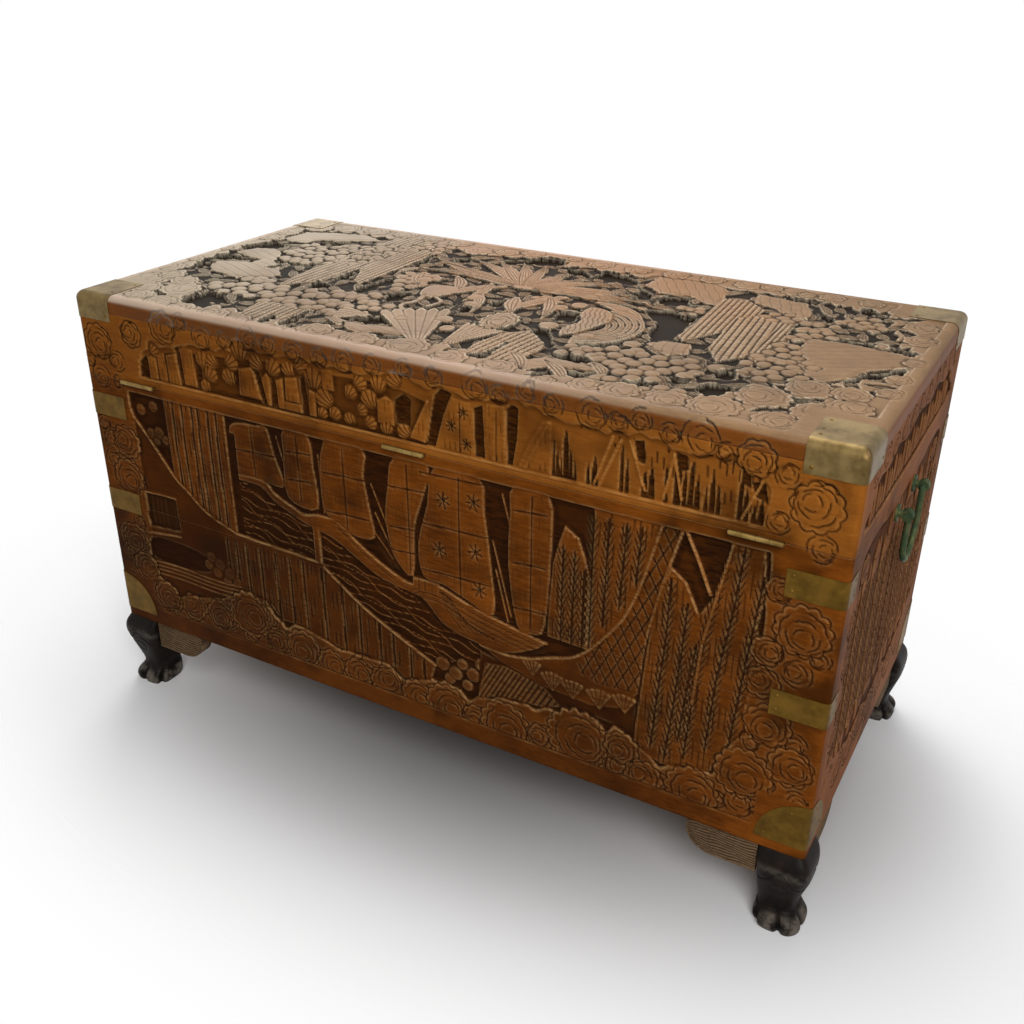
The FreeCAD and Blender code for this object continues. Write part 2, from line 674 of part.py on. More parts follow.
for number, plank in enumerate(PLANKS):
    width = "(chest_depth - 2 * board_thickness) / %d" % len(PLANKS)
    node(box("bottom_plank_" + plank, ("chest_length - 2 * board_thickness", width, "bottom_thickness"),
             ("-(%s) + board_thickness" % HALF_LENGTH,
              "-(%s) + board_thickness + %d * %s" % (HALF_DEPTH, number, width), "foot_height")))
lip_height = "lip_depth + lip_rise"
lip_base = SEAM + " - lip_depth"
node(box("dust_lip_front", ("chest_length - 2 * board_thickness", "lip_thickness", lip_height),
         ("-(%s) + board_thickness" % HALF_LENGTH, LOCK_BACK, lip_base)))
for side, sx in ENDS.items():
    x_low, x_run = span(sx, HALF_LENGTH + " - board_thickness", "lip_thickness")
    node(box("dust_lip_" + side, (x_run, "chest_depth - 2 * board_thickness - lip_thickness", lip_height),
             (x_low, LOCK_BACK + " + lip_thickness", lip_base)))


# The sunk panel of the lid's top, the trunks, leaves and birds left standing in it, and the hollows
# cut deeper. Each outline is drawn on a lid of 1000 by 490 mm seen from above, with 0, 0 in its
# middle, and stretches with the chest.

PANEL = (
    (464, -175), (400, -195), (314, -199), (210, -195), (158, -179), (110, -193), (54, -221),
    (24, -193), (-50, -195), (-130, -189), (-210, -195), (-290, -201), (-370, -195), (-424, -175),
    (-442, -125), (-458, -65), (-472, -25), (-468, 45), (-436, 85), (-390, 95), (-378, 133),
    (-340, 137), (-316, 185), (-230, 197), (-150, 215), (-50, 197), (10, 185), (90, 201),
    (180, 211), (290, 207), (360, 207), (370, 145), (414, 125), (458, 97), (474, 45), (478, -35),
    (462, -105),
)
STANDING = (
    ((310, -205), (260, -209), (256, -55), (264, 45), (288, 77), (299, 89), (308, 45), (314, -75)),
    ((258, -201), (212, -197), (210, -25), (213, 31), (230, 19), (246, -15), (256, -29)),
    ((270, 153), (188, 153), (198, 185), (192, 215), (204, 207), (218, 193), (226, 221),
     (248, 225), (264, 195)),
    ((-222, -147), (-252, -155), (-282, -125), (-286, -55), (-264, -11), (-238, 37), (-228, 21)),
    ((-262, -75), (-290, -105), (-322, -85), (-328, -15), (-316, 55), (-296, 85), (-272, 45)),
    ((-50, 117), (-72, 93), (-108, 113), (-116, 145), (-108, 201), (-50, 203), (-42, 165)),
    ((-316, -85), (-332, -87), (-338, -15), (-332, 75), (-318, 45)),
    ((420, -91), (398, -107), (360, -119), (348, -143), (313, -147), (310, -27), (334, -19),
     (360, -17), (386, -19), (402, -43)),
    ((314, -163), (260, -159), (256, -55), (274, -41), (306, -49)),
    ((360, 75), (320, 63), (294, 83), (254, 91), (210, 67), (176, 77), (162, 121), (124, 129),
     (146, 157), (190, 159), (256, 157), (296, 153), (350, 147), (390, 141), (386, 113),
     (344, 103)),
    ((190, -49), (164, -59), (132, -43), (122, -9), (148, 37), (166, 25), (184, -5)),
    ((184, 45), (158, 57), (138, 79), (110, 95), (120, 129), (158, 121), (176, 85)),
    ((-178, 101), (-206, 87), (-250, 97), (-296, 89), (-312, 107), (-296, 141), (-266, 145),
     (-262, 175), (-220, 177), (-206, 191), (-190, 165), (-180, 137)),
    ((-280, -139), (-322, -125), (-346, -101), (-332, -83), (-290, -85)),
    ((-332, -105), (-376, -105), (-394, -59), (-362, -49), (-356, -5), (-336, -11)),
    ((-328, -15), (-366, -5), (-394, 45), (-396, 91), (-350, 117), (-318, 97), (-322, 45)),
    ((-370, -145), (-410, -155), (-430, -115), (-420, -103), (-390, -103), (-374, -121)),
    ((-190, -85), (-224, -95), (-228, -69), (-206, -61), (-190, -71)),
    ((10, -47), (-50, -49), (-64, -5), (-38, 1), (-10, -15)),
    ((-130, 117), (-180, 101), (-182, 135), (-130, 139)),
    ((264, -195), (210, -193), (212, -145), (260, -159)),
    ((-206, 185), (-226, 181), (-242, 201), (-290, 169), (-308, 185), (-300, 197), (-220, 207)),
    ((206, -141), (148, -155), (78, -171), (44, -173), (-6, -151), (-76, -139), (-126, -101),
     (-158, -65), (-158, -49), (-70, -43), (20, -43), (110, -67), (192, -75)),
    ((-126, -35), (-166, -13), (-186, 31), (-174, 75), (-140, 107), (-118, 91), (-136, 55),
     (-130, 13), (-102, -5), (-96, -23)),
    ((4, 211), (122, 119), (86, 85), (45, 67)),
    ((-10, 197), (5, 102), (-24, 99), (-51, 110)),
    ((118, 133), (165, 121), (164, 147), (151, 167)),
    ((-2, 79), (-10, 53), (-26, 45), (-42, 53), (-50, 79), (-42, 105), (-26, 113), (-10, 105)),
    ((126, -5), (110, -17), (90, -15), (82, 7), (94, 31), (112, 37), (124, 21)),
)
HOLLOWS = (
    ((480, -42), (460, -95), (438, -97), (422, -69), (450, -53), (465, -33)),
    ((407, -113), (402, -133), (375, -139), (350, -153), (350, -141), (370, -123), (392, -111)),
    ((382, -13), (360, -19), (320, -29), (318, -19), (340, -3), (378, -1)),
    ((480, 7), (460, -5), (412, -1), (410, 11), (450, 17), (458, 29), (474, 19)),
    ((472, 57), (462, 35), (448, 51), (442, 59), (452, 77)),
    ((368, 107), (364, 87), (350, 73), (325, 61), (332, 91), (352, 107)),
    ((270, 45), (242, 43), (240, 65), (254, 80), (267, 77)),
    ((260, -17), (247, -9), (243, 17), (259, 23)),
    ((208, 45), (202, -15), (190, -33), (178, -5), (184, 45), (198, 73)),
    ((212, -143), (198, -109), (197, -83), (208, -75)),
    ((362, 149), (335, 153), (295, 181), (325, 191), (307, 197), (309, 217), (350, 211),
     (364, 197)),
    ((224, 215), (221, 195), (213, 199), (205, 221), (213, 230)),
    ((194, 159), (187, 175), (179, 215), (186, 225), (195, 215)),
    ((128, -167), (110, -183), (80, -201), (60, -219), (36, -217), (26, -193), (54, -173),
     (70, -179), (92, -155), (110, -169)),
    ((20, -185), (-10, -183), (-30, -165), (-37, -193), (-70, -189), (-95, -173), (-101, -153),
     (-50, -151), (-10, -154), (10, -164)),
    ((174, -157), (160, -165), (148, -143), (156, -130), (178, -142)),
    ((-104, -149), (-132, -129), (-143, -105), (-122, -93), (-101, -102), (-103, -117),
     (-118, -121)),
    ((-145, -111), (-158, -127), (-180, -135), (-193, -107), (-210, -114), (-206, -96),
     (-190, -98), (-160, -88)),
    ((-152, -62), (-180, -72), (-206, -58), (-219, -64), (-228, 35), (-206, 51), (-194, 29),
     (-184, -19), (-162, -41)),
    ((26, 7), (10, -17), (7, 20), (22, 32)),
    ((-64, 1), (-91, -6), (-98, 30), (-74, 38)),
    ((158, 45), (138, 25), (124, 35), (130, 65), (144, 74)),
    ((106, 93), (98, 75), (70, 61), (61, 35), (53, 75), (70, 95)),
    ((50, 59), (38, 25), (24, 45), (31, 69)),
    ((3, 85), (-6, 63), (-21, 49), (-12, 93), (-20, 121), (0, 111)),
    ((140, 158), (126, 135), (108, 131), (73, 136), (72, 147), (108, 164)),
    ((182, 225), (170, 197), (152, 177), (125, 167), (134, 186), (160, 207), (168, 223)),
    ((94, 200), (60, 185), (19, 178), (40, 198), (60, 208)),
    ((-48, 205), (-67, 185), (-74, 141), (-78, 205)),
    ((-65, 75), (-90, 73), (-114, 111), (-124, 119), (-115, 132), (-90, 105)),
    ((-128, 99), (-150, 91), (-180, 71), (-182, 95), (-154, 117)),
    ((-123, 144), (-150, 136), (-180, 138), (-181, 158), (-150, 159)),
    ((-139, 224), (-146, 203), (-170, 185), (-203, 176), (-190, 198), (-162, 210), (-150, 226)),
    ((-264, 143), (-292, 141), (-293, 164), (-275, 161)),
    ((-226, 175), (-250, 163), (-263, 185), (-240, 199)),
    ((-303, 105), (-326, 95), (-330, 121), (-310, 129)),
    ((-308, 145), (-353, 139), (-342, 159), (-332, 185), (-314, 181), (-304, 163)),
    ((-341, -154), (-360, -144), (-373, -129), (-360, -124), (-347, -134)),
    ((-380, -198), (-395, -196), (-408, -181), (-420, -184), (-417, -161), (-400, -174),
     (-388, -171)),
    ((-294, -200), (-337, -198), (-328, -183), (-316, -189), (-302, -187)),
    ((-374, -58), (-395, -68), (-450, -70), (-466, -57), (-483, -50), (-476, -36), (-450, -50),
     (-395, -53)),
    ((-414, 94), (-439, 56), (-445, 34), (-481, 2), (-479, 36), (-451, 56)),
    ((-388, 148), (-427, 142), (-420, 158), (-398, 155)),
)


def prism(name, places, depth):
    """A prism on one of the outlines that goes as far above the lid's top as it goes below it."""
    along = size("chest_length") / 1000
    across = size("chest_depth") / 490
    line = doc.addObject("Part::Polygon", name + "_line")
    line.Nodes = [FreeCAD.Vector(x * along, y * across, 0) for x, y in places]
    line.Close = True
    put(line, ("0 * chest_length", "0 * chest_depth", "%s - %s" % (LID_TOP, depth)))
    made = doc.addObject("Part::Extrusion", name)
    made.Base = line
    made.DirMode = "Custom"
    made.Dir = FreeCAD.Vector(0, 0, 1)
    made.Solid = True
    bind(made, LengthFwd="2 * " + depth)
    return made


# Lid: four dovetailed rails and a top of three planks with rounded edges.

rail_cuts = {"front": [link_plate], "back": lid_mortises + lid_screws}
for wall, cuts in rail_cuts.items():
    whole = wall_piece("rail_" + wall, wall, LID_BASE, RAIL_HEIGHT, "rail_thickness", lid_tails, lid_outline)
    node(boolean("Cut", "lid_rail_" + wall, whole, group("rail_%s_cuts" % wall, cuts + [brass_nails_lid])))
for side in ENDS:
    whole = end_piece("rail_" + side, side, LID_BASE, RAIL_HEIGHT, "rail_thickness", lid_tails, lid_outline)
    node(boolean("Cut", "lid_rail_" + side, whole, brass_nails_lid))
left = [prism("left_%d" % number, places, "2 * panel_depth") for number, places in enumerate(STANDING)]
panel = boolean("Cut", "lid_panel", prism("panel_whole", PANEL, "panel_depth"), joined("standing", left))
hollows = [prism("hollow_%d" % number, places, "carving_depth") for number, places in enumerate(HOLLOWS)]
plank_cuts = group("plank_cuts", hollows + [brass_nails_lid])
for number, plank in enumerate(PLANKS):
    width = "chest_depth / %d" % len(PLANKS)
    name = "lid_plank_" + plank
    region = box(name + "_region", ("chest_length", width, "top_thickness"),
                 ("-(%s)" % HALF_LENGTH, "-(%s) + %d * %s" % (HALF_DEPTH, number, width),
                  LID_TOP + " - top_thickness"))
    blank = boolean("Common", name + "_blank", lid_outline, region)
    sunk = boolean("Cut", name + "_sunk", blank, panel)
    node(boolean("Cut", name, sunk, plank_cuts))


# Paw feet: square sections lofted from the knee through the ankle to the sole.

FOOT_SECTIONS = (
    ("foot_height", "0 * leg_width", "leg_width"),
    ("knee_height", "knee_proud", "leg_width + knee_proud"),
    ("calf_height", "calf_proud", "leg_width + calf_proud"),
    ("ankle_height", "-ankle_inset", "ankle_width"),
    ("paw_height", "paw_proud", "paw_width"),
    ("0 * paw_height", "paw_proud - sole_round", "paw_width - 2 * sole_round"),
)


def foot(name, sx, sy):
    """A leg under one corner; each section lies proud of the corner and has its own width."""
    sections = []
    for number, (height, proud, width) in enumerate(FOOT_SECTIONS):
        x_low, _ = span(sx, HALF_LENGTH, "%s - (%s)" % (width, proud), proud)
        y_low, _ = span(sy, HALF_DEPTH, "%s - (%s)" % (width, proud), proud)
        section = doc.addObject("Part::Plane", "%s_section_%d" % (name, number))
        bind(section, Length=width, Width=width)
        put(section, (x_low, y_low, height))
        sections.append(section)
    made = doc.addObject("Part::Loft", name)
    made.Sections = sections
    made.Solid = True
    made.Ruled = True
    return made


def bracket(name, dimensions, corner, far_axis, far_sign):
    """A carved bracket beside a leg: a block whose low far corner is a large round."""
    block = box(name + "_block", dimensions, corner)
    doc.recompute()
    bounds = block.Shape.BoundBox
    far = {"x": (bounds.XMin, bounds.XMax), "y": (bounds.YMin, bounds.YMax)}[far_axis][far_sign > 0]
    edges = []
    for number, edge in enumerate(block.Shape.Edges, 1):
        middle = edge.CenterOfMass
        if abs(getattr(middle, far_axis) - far) < 1e-6 and abs(middle.z - bounds.ZMin) < 1e-6:
            edges.append((number, size("bracket_round"), size("bracket_round")))
    made = doc.addObject("Part::Fillet", name)
    made.Base = block
    made.Edges = edges
    return made


bracket_z = "foot_height - bracket_height"
for corner, (sx, sy) in CORNERS.items():
    node(foot("foot_" + corner, sx, sy))
    x_low, x_run = span(sx, HALF_LENGTH + " - leg_width", "bracket_length")
    y_low, y_run = span(sy, HALF_DEPTH + " - bracket_setback", "bracket_thickness")
    wall_side = bracket("bracket_wall_" + corner, (x_run, y_run, "bracket_height"),
                        (x_low, y_low, bracket_z), "x", -sx)
    x_low, x_run = span(sx, HALF_LENGTH + " - bracket_setback", "bracket_thickness")
    y_low, y_run = span(sy, HALF_DEPTH + " - leg_width", "bracket_length")
    end_side = bracket("bracket_end_" + corner, (x_run, y_run, "bracket_height"),
                       (x_low, y_low, bracket_z), "y", -sy)
    node(group("foot_brackets_" + corner, [wall_side, end_side]))


# Everything is checked before anything is written.

doc.recompute()
for made in doc.Objects:
    if "Invalid" in made.State or "Error" in made.State:
        raise RuntimeError("%s did not compute: %s" % (made.Label, made.State))
for made in nodes:
    if made.Shape.isNull() or not made.Shape.isValid():
        raise RuntimeError("%s has no valid shape" % made.Label)
os.makedirs("parts", exist_ok=True)
for made in nodes:
    made.Shape.exportStep("parts/%s.step" % made.Label)
    print("%-34s %3d solids %12.1f mm3" % (made.Label, len(made.Shape.Solids), made.Shape.Volume))
print("%d nodes" % len(nodes))
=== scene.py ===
import math

import bpy
import numpy as np
from mathutils import Matrix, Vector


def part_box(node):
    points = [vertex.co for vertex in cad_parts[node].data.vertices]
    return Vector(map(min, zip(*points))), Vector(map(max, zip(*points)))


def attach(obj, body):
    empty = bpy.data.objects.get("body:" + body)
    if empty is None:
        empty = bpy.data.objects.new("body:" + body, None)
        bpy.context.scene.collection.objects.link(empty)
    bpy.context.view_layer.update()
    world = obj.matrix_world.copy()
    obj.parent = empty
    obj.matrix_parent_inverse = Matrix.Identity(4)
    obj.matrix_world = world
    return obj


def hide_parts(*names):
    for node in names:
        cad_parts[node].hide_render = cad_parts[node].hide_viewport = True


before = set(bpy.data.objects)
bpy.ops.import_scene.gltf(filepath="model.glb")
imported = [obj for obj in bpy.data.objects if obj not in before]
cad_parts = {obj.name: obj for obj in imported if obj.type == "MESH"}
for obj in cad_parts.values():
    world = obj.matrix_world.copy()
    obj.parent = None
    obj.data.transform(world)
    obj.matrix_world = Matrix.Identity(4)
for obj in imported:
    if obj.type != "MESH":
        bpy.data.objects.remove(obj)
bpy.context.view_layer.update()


# Back wall of the carcase
# Two camphor planks glued edge to edge and carved over their whole face with a harbour: junks under
# sail, a palisade, a net on its ropes and pines, in a frame of clouds. The varnish is orange brown, with
# painted shade towards the foot and in the carving's recesses, and the cut-away ground is stained almost
# black.

HALF_LENGTH, HALF_DEPTH = 500, 245  # of the chest, in mm
WALL_THICKNESS, CORNER_ROUND = 19.9, 6
WALL_MIDDLE, WALL_TOP = 520, 595.8  # u of a wall picture's middle, and the height in mm where its v is 0


def smooth(value, low, high):
    """0 below low, 1 above high and an S-shaped rise between them."""
    t = np.clip((value - low) / (high - low), 0, 1)
    return t * t * (3 - 2 * t)


def curve(points, closed=False, steps=5):
    """Places along a smooth line through the given ones: a Catmull-Rom cubic between each pair."""
    p = np.asarray(points, float)
    p = np.vstack([p[-1:], p, p[:2]]) if closed else np.vstack([2 * p[0] - p[1], p, 2 * p[-1] - p[-2]])
    t = np.linspace(0, 1, steps, endpoint=False)[:, None]
    runs = [0.5 * (2 * b + (c - a) * t + (2 * a - 5 * b + 4 * c - d) * t**2 + (3 * b - a - 3 * c + d) * t**3)
            for a, b, c, d in zip(p, p[1:], p[2:], p[3:])]
    return np.vstack(runs if closed else runs + [p[-2:-1]])


def lobed(points, pitch, rise, closed=True):
    """A line with round lobes standing out of its right-hand side, or its left where rise is negative; seen
    along the line a lobe is the upper half of a sine. The lobes of a closed outline stand out of it."""
    p = np.asarray(points, float)
    turn = 1.0
    if closed:
        p = np.vstack([p, p[:1]])
        turn = np.sign(np.sum(p[:-1, 0] * p[1:, 1] - p[1:, 0] * p[:-1, 1]))
    run = np.concatenate([[0], np.cumsum(np.hypot(*np.diff(p, axis=0).T))])
    count = max(4, round(run[-1] / pitch))
    s = np.linspace(0, 1, count * 6, endpoint=not closed)
    q = np.stack([np.interp(s * run[-1], run, p[:, i]) for i in (0, 1)], -1)
    way = np.roll(q, -1, 0) - np.roll(q, 1, 0) if closed else np.gradient(q, axis=0)
    out = np.stack([way[:, 1], -way[:, 0]], -1) / np.linalg.norm(way, axis=1, keepdims=True)
    lobe = turn * rise * (0.8 + 0.4 * np.sin(41 * s)) * np.abs(np.sin(math.pi * s * count))
    return q + lobe[:, None] * out


class Relief:
    """A carved face. Over a grid of places u across and v down, in mm, it holds the height above the
    plain face in mm and a darkening that is real staining with some painted shade added: 0 for varnish
    alone, 1 for blackened wood and -1 for wood rubbed pale, which on ridges is also a painted highlight."""

    def __init__(self, u, v):
        self.u = u
        self.v = v
        self.height = np.zeros((len(v), len(u)))
        self.stain_and_shade = np.zeros((len(v), len(u)))

    def window(self, points, reach):
        """The part of the grid about some places, with its u and v."""
        low, high = np.min(points, 0) - reach, np.max(points, 0) + reach
        i, j = np.searchsorted(self.u, (low[0], high[0])), np.searchsorted(self.v, (low[1], high[1]))
        return (slice(*j), slice(*i)), *np.meshgrid(self.u[slice(*i)], self.v[slice(*j)])

    def away(self, points, x, y, closed):
        """Distance of the places x, y from a line, and which of them it encloses."""
        p = np.asarray(points, float)
        ends = np.roll(p, -1, 0) if closed else p[1:]
        best = np.full(x.shape, 1e9)
        within = np.zeros(x.shape, bool)
        for (ax, ay), (bx, by) in zip(p, ends):
            ex, ey = bx - ax, by - ay
            t = np.clip(((x - ax) * ex + (y - ay) * ey) / (ex * ex + ey * ey + 1e-12), 0, 1)
            best = np.minimum(best, (x - ax - t * ex) ** 2 + (y - ay - t * ey) ** 2)
            if closed and ey:
                within ^= ((ay > y) != (by > y)) & (x < ax + (y - ay) * ex / ey)
        return np.sqrt(best), within

    def inside(self, outline, reach):
        """Window of an outline, its u and v, and the distance in from its edge, negative outside."""
        at, x, y = self.window(outline, reach)
        far, within = self.away(outline, x, y, True)
        return at, x, y, np.where(within, far, -far)

    def lay(self, at, share, level, stain_and_shade):
        """Bring part of the face towards a level and a stain by a share of 0 to 1."""
        self.height[at] += share * (level - self.height[at])
        self.stain_and_shade[at] += share * (stain_and_shade - self.stain_and_shade[at])

    def area(self, outline, level, edge, stain_and_shade, dome=0.0):
        """Everything inside an outline at one level, or rising by dome towards its middle."""
        at, *_, d = self.inside(outline, edge + 1)
        self.lay(at, smooth(d, -edge, edge), level + dome * smooth(d, 0, 9), stain_and_shade)

    def cut(self, line, depth, width, stain_and_shade):
        """A V-shaped cut along a line."""
        at, x, y = self.window(line, width)
        share = np.clip(1 - 2 * self.away(line, x, y, False)[0] / width, 0, 1)
        self.height[at] -= depth * share
        self.stain_and_shade[at] += np.minimum(1, 2 * share) * (stain_and_shade - self.stain_and_shade[at])

    def ridge(self, line, level, width, stain_and_shade):
        """A rounded bar along a line."""
        at, x, y = self.window(line, width)
        d = self.away(line, x, y, False)[0]
        self.lay(at, smooth(width / 2 - d, -0.7, 0.9), level - 0.3 * (2 * d / width) ** 2, stain_and_shade)

    def grooves(self, at, share, across, spacing, depth, width, stain_and_shade):
        """Parallel V cuts at each whole multiple of spacing of a coordinate across them."""
        far = np.abs(across / spacing - np.round(across / spacing)) * spacing
        cut = share * np.clip(1 - 2 * far / width, 0, 1)
        self.height[at] -= depth * cut
        self.stain_and_shade[at] += np.minimum(1, 1.6 * cut) * (stain_and_shade - self.stain_and_shade[at])

    def hatch(self, outline, spacing, angle, depth, width, wave, length, stain_and_shade):
        """Parallel cuts at an angle inside an outline, straight or waving. A negative depth leaves bars."""
        at, x, y, d = self.inside(outline, 0)
        c, s = math.cos(math.radians(angle)), math.sin(math.radians(angle))
        across = y * c - x * s + wave * np.sin((x * c + y * s) * 2 * math.pi / length + 0.09 * y)
        self.grooves(at, smooth(d, 0.3, 1.8), across, spacing, depth, width, stain_and_shade)

    def dashes(self, outline, spacing, length, depth, stain_and_shade):
        """Upright strokes in uneven columns, broken off at a different height in each."""
        at, x, y, d = self.inside(outline, 0)
        across = x / spacing + 0.12 * np.sin(y / 23)
        shake = np.sin(12.9898 * np.round(across)) * 43.7585 % 1
        share = smooth(d, 0.5, 2.0) * smooth(np.sin(2 * math.pi * (y / length + shake)), 0.0, 0.5)
        self.grooves(at, share, (across + 0.5 * shake - 0.25) * spacing, spacing, depth, 2.4, stain_and_shade)

    def ear(self, line, reach=8.0, spacing=11.0):
        """A seam down a tree with short steep strokes that go up and out from it, first on one side and then
        on the other, like an ear of wheat. Painted shade darkens the wood towards it. The line's places
        run downwards."""
        at, x, y = self.window(line, 2 * reach)
        path = np.asarray(line, float)
        off = x - np.interp(y, path[:, 1], path[:, 0])
        share = smooth(y, path[0, 1], path[0, 1] + 8) * smooth(path[-1, 1] - y, 0, 8)
        # painted shade on the wood towards the seam
        self.stain_and_shade[at] += 0.42 * share * np.exp(-(off / 6.5) ** 2) * np.clip(1 - self.stain_and_shade[at], 0, 1)
        strokes = share * smooth(reach - np.abs(off), 0, 3)
        self.grooves(at, strokes, y + 2.3 * np.abs(off) + spacing / 2 * (off > 0), spacing, 1.2, 4.6, 1.0)
        self.cut(line, 1.6, 2.6, 1.0)

    def cobbles(self, outline, size, level):
        """Round leaves crowded in uneven rows: each is a dome on the nearest of a set of shaken centres, some
        higher than others, and only leaves whose centres lie in the outline are cut."""
        at, x, y = self.window(outline, size)
        near, cx, cy, lift = np.full(x.shape, 1e9), x.copy(), y.copy(), np.zeros(x.shape)
        row, column = np.floor(y / (0.8 * size)), np.floor(x / size)
        for i in (-1, 0, 1):
            for j in (-1, 0, 1):
                r, c = row + i, column + j
                shake = np.sin(12.9898 * c + 78.233 * r) * 43.7585
                shake -= np.floor(shake)
                px = (c + 0.5 * (r % 2) + 0.30 + 0.40 * shake) * size
                py = (r + 0.5 + 0.40 * np.sin(9.1 * shake + r)) * 0.8 * size
                far = np.hypot(x - px, y - py)
                better = far < near
                near, cx, cy = np.where(better, far, near), np.where(better, px, cx), np.where(better, py, cy)
                lift = np.where(better, shake, lift)
        within = self.away(outline, cx, cy, True)[1]
        round_off = near / (0.56 * size)
        share = within * smooth(1.05 - round_off, 0, 0.16)
        dome = level + 1.3 * (lift - 0.6) - 2.2 * round_off ** 2
        # painted shade towards each leaf's edge, where the leaves meet
        self.lay(at, share, dome, 0.12 + 0.5 * smooth(round_off, 0.6, 1.0))

    def ball(self, centre, radius, level, rise, stain_and_shade=0.05):
        """A boss as round as an ellipse."""
        at, x, y = self.window([centre], radius + 2)
        r = np.hypot(x - centre[0], y - centre[1]) / radius
        dome = level + rise * np.sqrt(np.clip(1 - r * r, 0, 1)) - rise
        self.lay(at, smooth(1.06 - r, 0, 0.16), dome, stain_and_shade)

    def fan(self, centre, radius, towards, spread, ribs, level, stain_and_shade=0.05, inner=0.12):
        """A scalloped fan or shell opening from its hinge, with a cut between each two ribs."""
        at, x, y = self.window([centre], radius + 2)
        x, y = x - centre[0], y - centre[1]
        r = np.hypot(x, y)
        turn = (np.degrees(np.arctan2(-y, x)) - towards + 180) % 360 - 180
        phase = (turn / spread + 0.5) * ribs
        rim = radius * (0.93 + 0.07 * np.abs(np.sin(phase * math.pi)))
        edge = np.minimum(rim - r, (spread / 2 - np.abs(turn)) * np.maximum(r, 1) * 0.0175)
        share = smooth(edge, -0.7, 0.8)
        self.lay(at, share, level - 0.8 * (1 - r / radius), stain_and_shade)
        far = np.abs(phase - np.round(phase)) * r * math.radians(spread) / ribs
        cut = share * np.clip(1 - far, 0, 1) * smooth(r / radius, inner, inner + 0.2)
        self.height[at] -= 1.1 * cut
        self.stain_and_shade[at] += cut * 0.5 * (1 - self.stain_and_shade[at])

    def shell(self, centre, size, turn):
        """A striped blossom: a low dome with cuts that spread from a place beside it."""
        at, x, y = self.window([centre], size + 2)
        way = math.radians(turn)
        x, y = x - centre[0], y - centre[1]
        r = np.hypot(x, y) / size
        share = smooth(1.05 - r, 0, 0.18)
        # painted shade round the edge of the dome
        self.lay(at, share, -0.4 - 1.4 * r ** 2, 0.04 + 0.4 * smooth(r, 0.8, 1.0))
        along = x * math.cos(way) - y * math.sin(way) + 1.5 * size
        aside = y * math.cos(way) + x * math.sin(way)
        phase = 3.2 * aside / np.maximum(along, 1)
        stripe = np.clip(1 - np.abs(phase - np.round(phase)) * along / 4.6, 0, 1)
        cut = share * stripe * smooth(0.98 - r, 0, 0.12)
        self.height[at] -= 1.3 * cut
        self.stain_and_shade[at] += 0.9 * cut * (1 - self.stain_and_shade[at])

    def rosette(self, centre, radius, turn, level=None, stain_and_shade=0.05, squash=1.0, force=1.0):
        """A cloud of rings one inside the next, each off centre towards one side and a hair higher than the
        ring about it, drawn by short curved cuts with painted shadow outside them. Where a level is given,
        the cloud stands out of the picture with a scalloped edge that is rubbed pale with a painted
        highlight."""
        at, x, y = self.window([centre], radius * max(1, squash) + 9)
        x, y = (x - centre[0]) / squash, y - centre[1]
        way = math.radians(turn)
        room = smooth(0.98 * radius - np.hypot(x, y), 0, 3)
        for number, share in enumerate((1.0, 0.78, 0.56, 0.34)):
            px, py = x - 0.09 * number * radius * math.cos(way), y - 0.09 * number * radius * math.sin(way)
            a = np.arctan2(py, px) - way
            lobe = 0.06 if number else 0.13
            bow = np.abs(np.cos(max(5, round(radius * share / 2.6)) * a / 2))
            edge = radius * share * (1 - lobe + lobe * bow) - np.hypot(px, py)
            cut = np.clip(1 - np.abs(edge) / 1.4, 0, 1)
            # painted shadow just outside each ring's edge
            ring_shadow = 0.34 * force * np.exp(-(edge / 3.4) ** 2) * (edge < 0) * np.clip(1 - self.stain_and_shade[at], 0, 1)
            if number:
                cut = cut * smooth(np.cos(3 * a + 2.1 * number + turn), -0.75, -0.1)
                ring_shadow = ring_shadow * room
            elif level is None:
                continue
            else:
                self.lay(at, smooth(edge, -0.8, 1.0), level - 0.5, stain_and_shade)
                # painted highlight along the scalloped edge, as rubbed pale wood
                self.stain_and_shade[at] -= 0.85 * force * np.clip(1 - np.abs(edge - 2.6) / 1.7, 0, 1)
            self.stain_and_shade[at] += ring_shadow
            self.height[at] += 0.2 * smooth(edge, -0.5, 0.9)
            self.height[at] -= 1.1 * force * cut
            self.stain_and_shade[at] += 0.95 * force * cut * (1 - self.stain_and_shade[at])

    def star(self, centre, radius):
        """Seven short cuts that meet in one place."""
        for number in range(7):
            a = 2 * math.pi * number / 7 + 0.3
            tip = (centre[0] + radius * math.cos(a), centre[1] + radius * math.sin(a) * 1.1)
            self.cut([centre, tip], 1.4, 2.4, 0.9)

    def plain(self, low, high, margin=1.5):
        """A rectangle left uncut for the metal that is fixed over it."""
        at, x, y = self.window([low, high], margin + 1)
        d = np.minimum.reduce([x - low[0], high[0] - x, y - low[1], high[1] - y])
        self.lay(at, smooth(d, -margin, 0), 0.0, 0.2)

    def colours(self):
        """Per place: painted shade where it lies sunk below its surroundings, a painted highlight where it
        stands above them or is rubbed pale, the staining with its painted shade, and the depth.
        """
        self.height = blur(self.height, 1, 0.5)
        # painted shade in recesses; painted highlight on crests and on wood rubbed pale
        cavity_shade = np.clip((blur(self.height, 5) - self.height) / 2.2, 0, 1)
        crest_highlight = np.clip(np.maximum((self.height - blur(self.height, 1)) / 0.4, -self.stain_and_shade), 0, 1)
        depth = np.clip(-self.height / 7, 0, 1)
        return np.stack([cavity_shade, crest_highlight, np.clip(self.stain_and_shade, 0, 1), depth], -1)


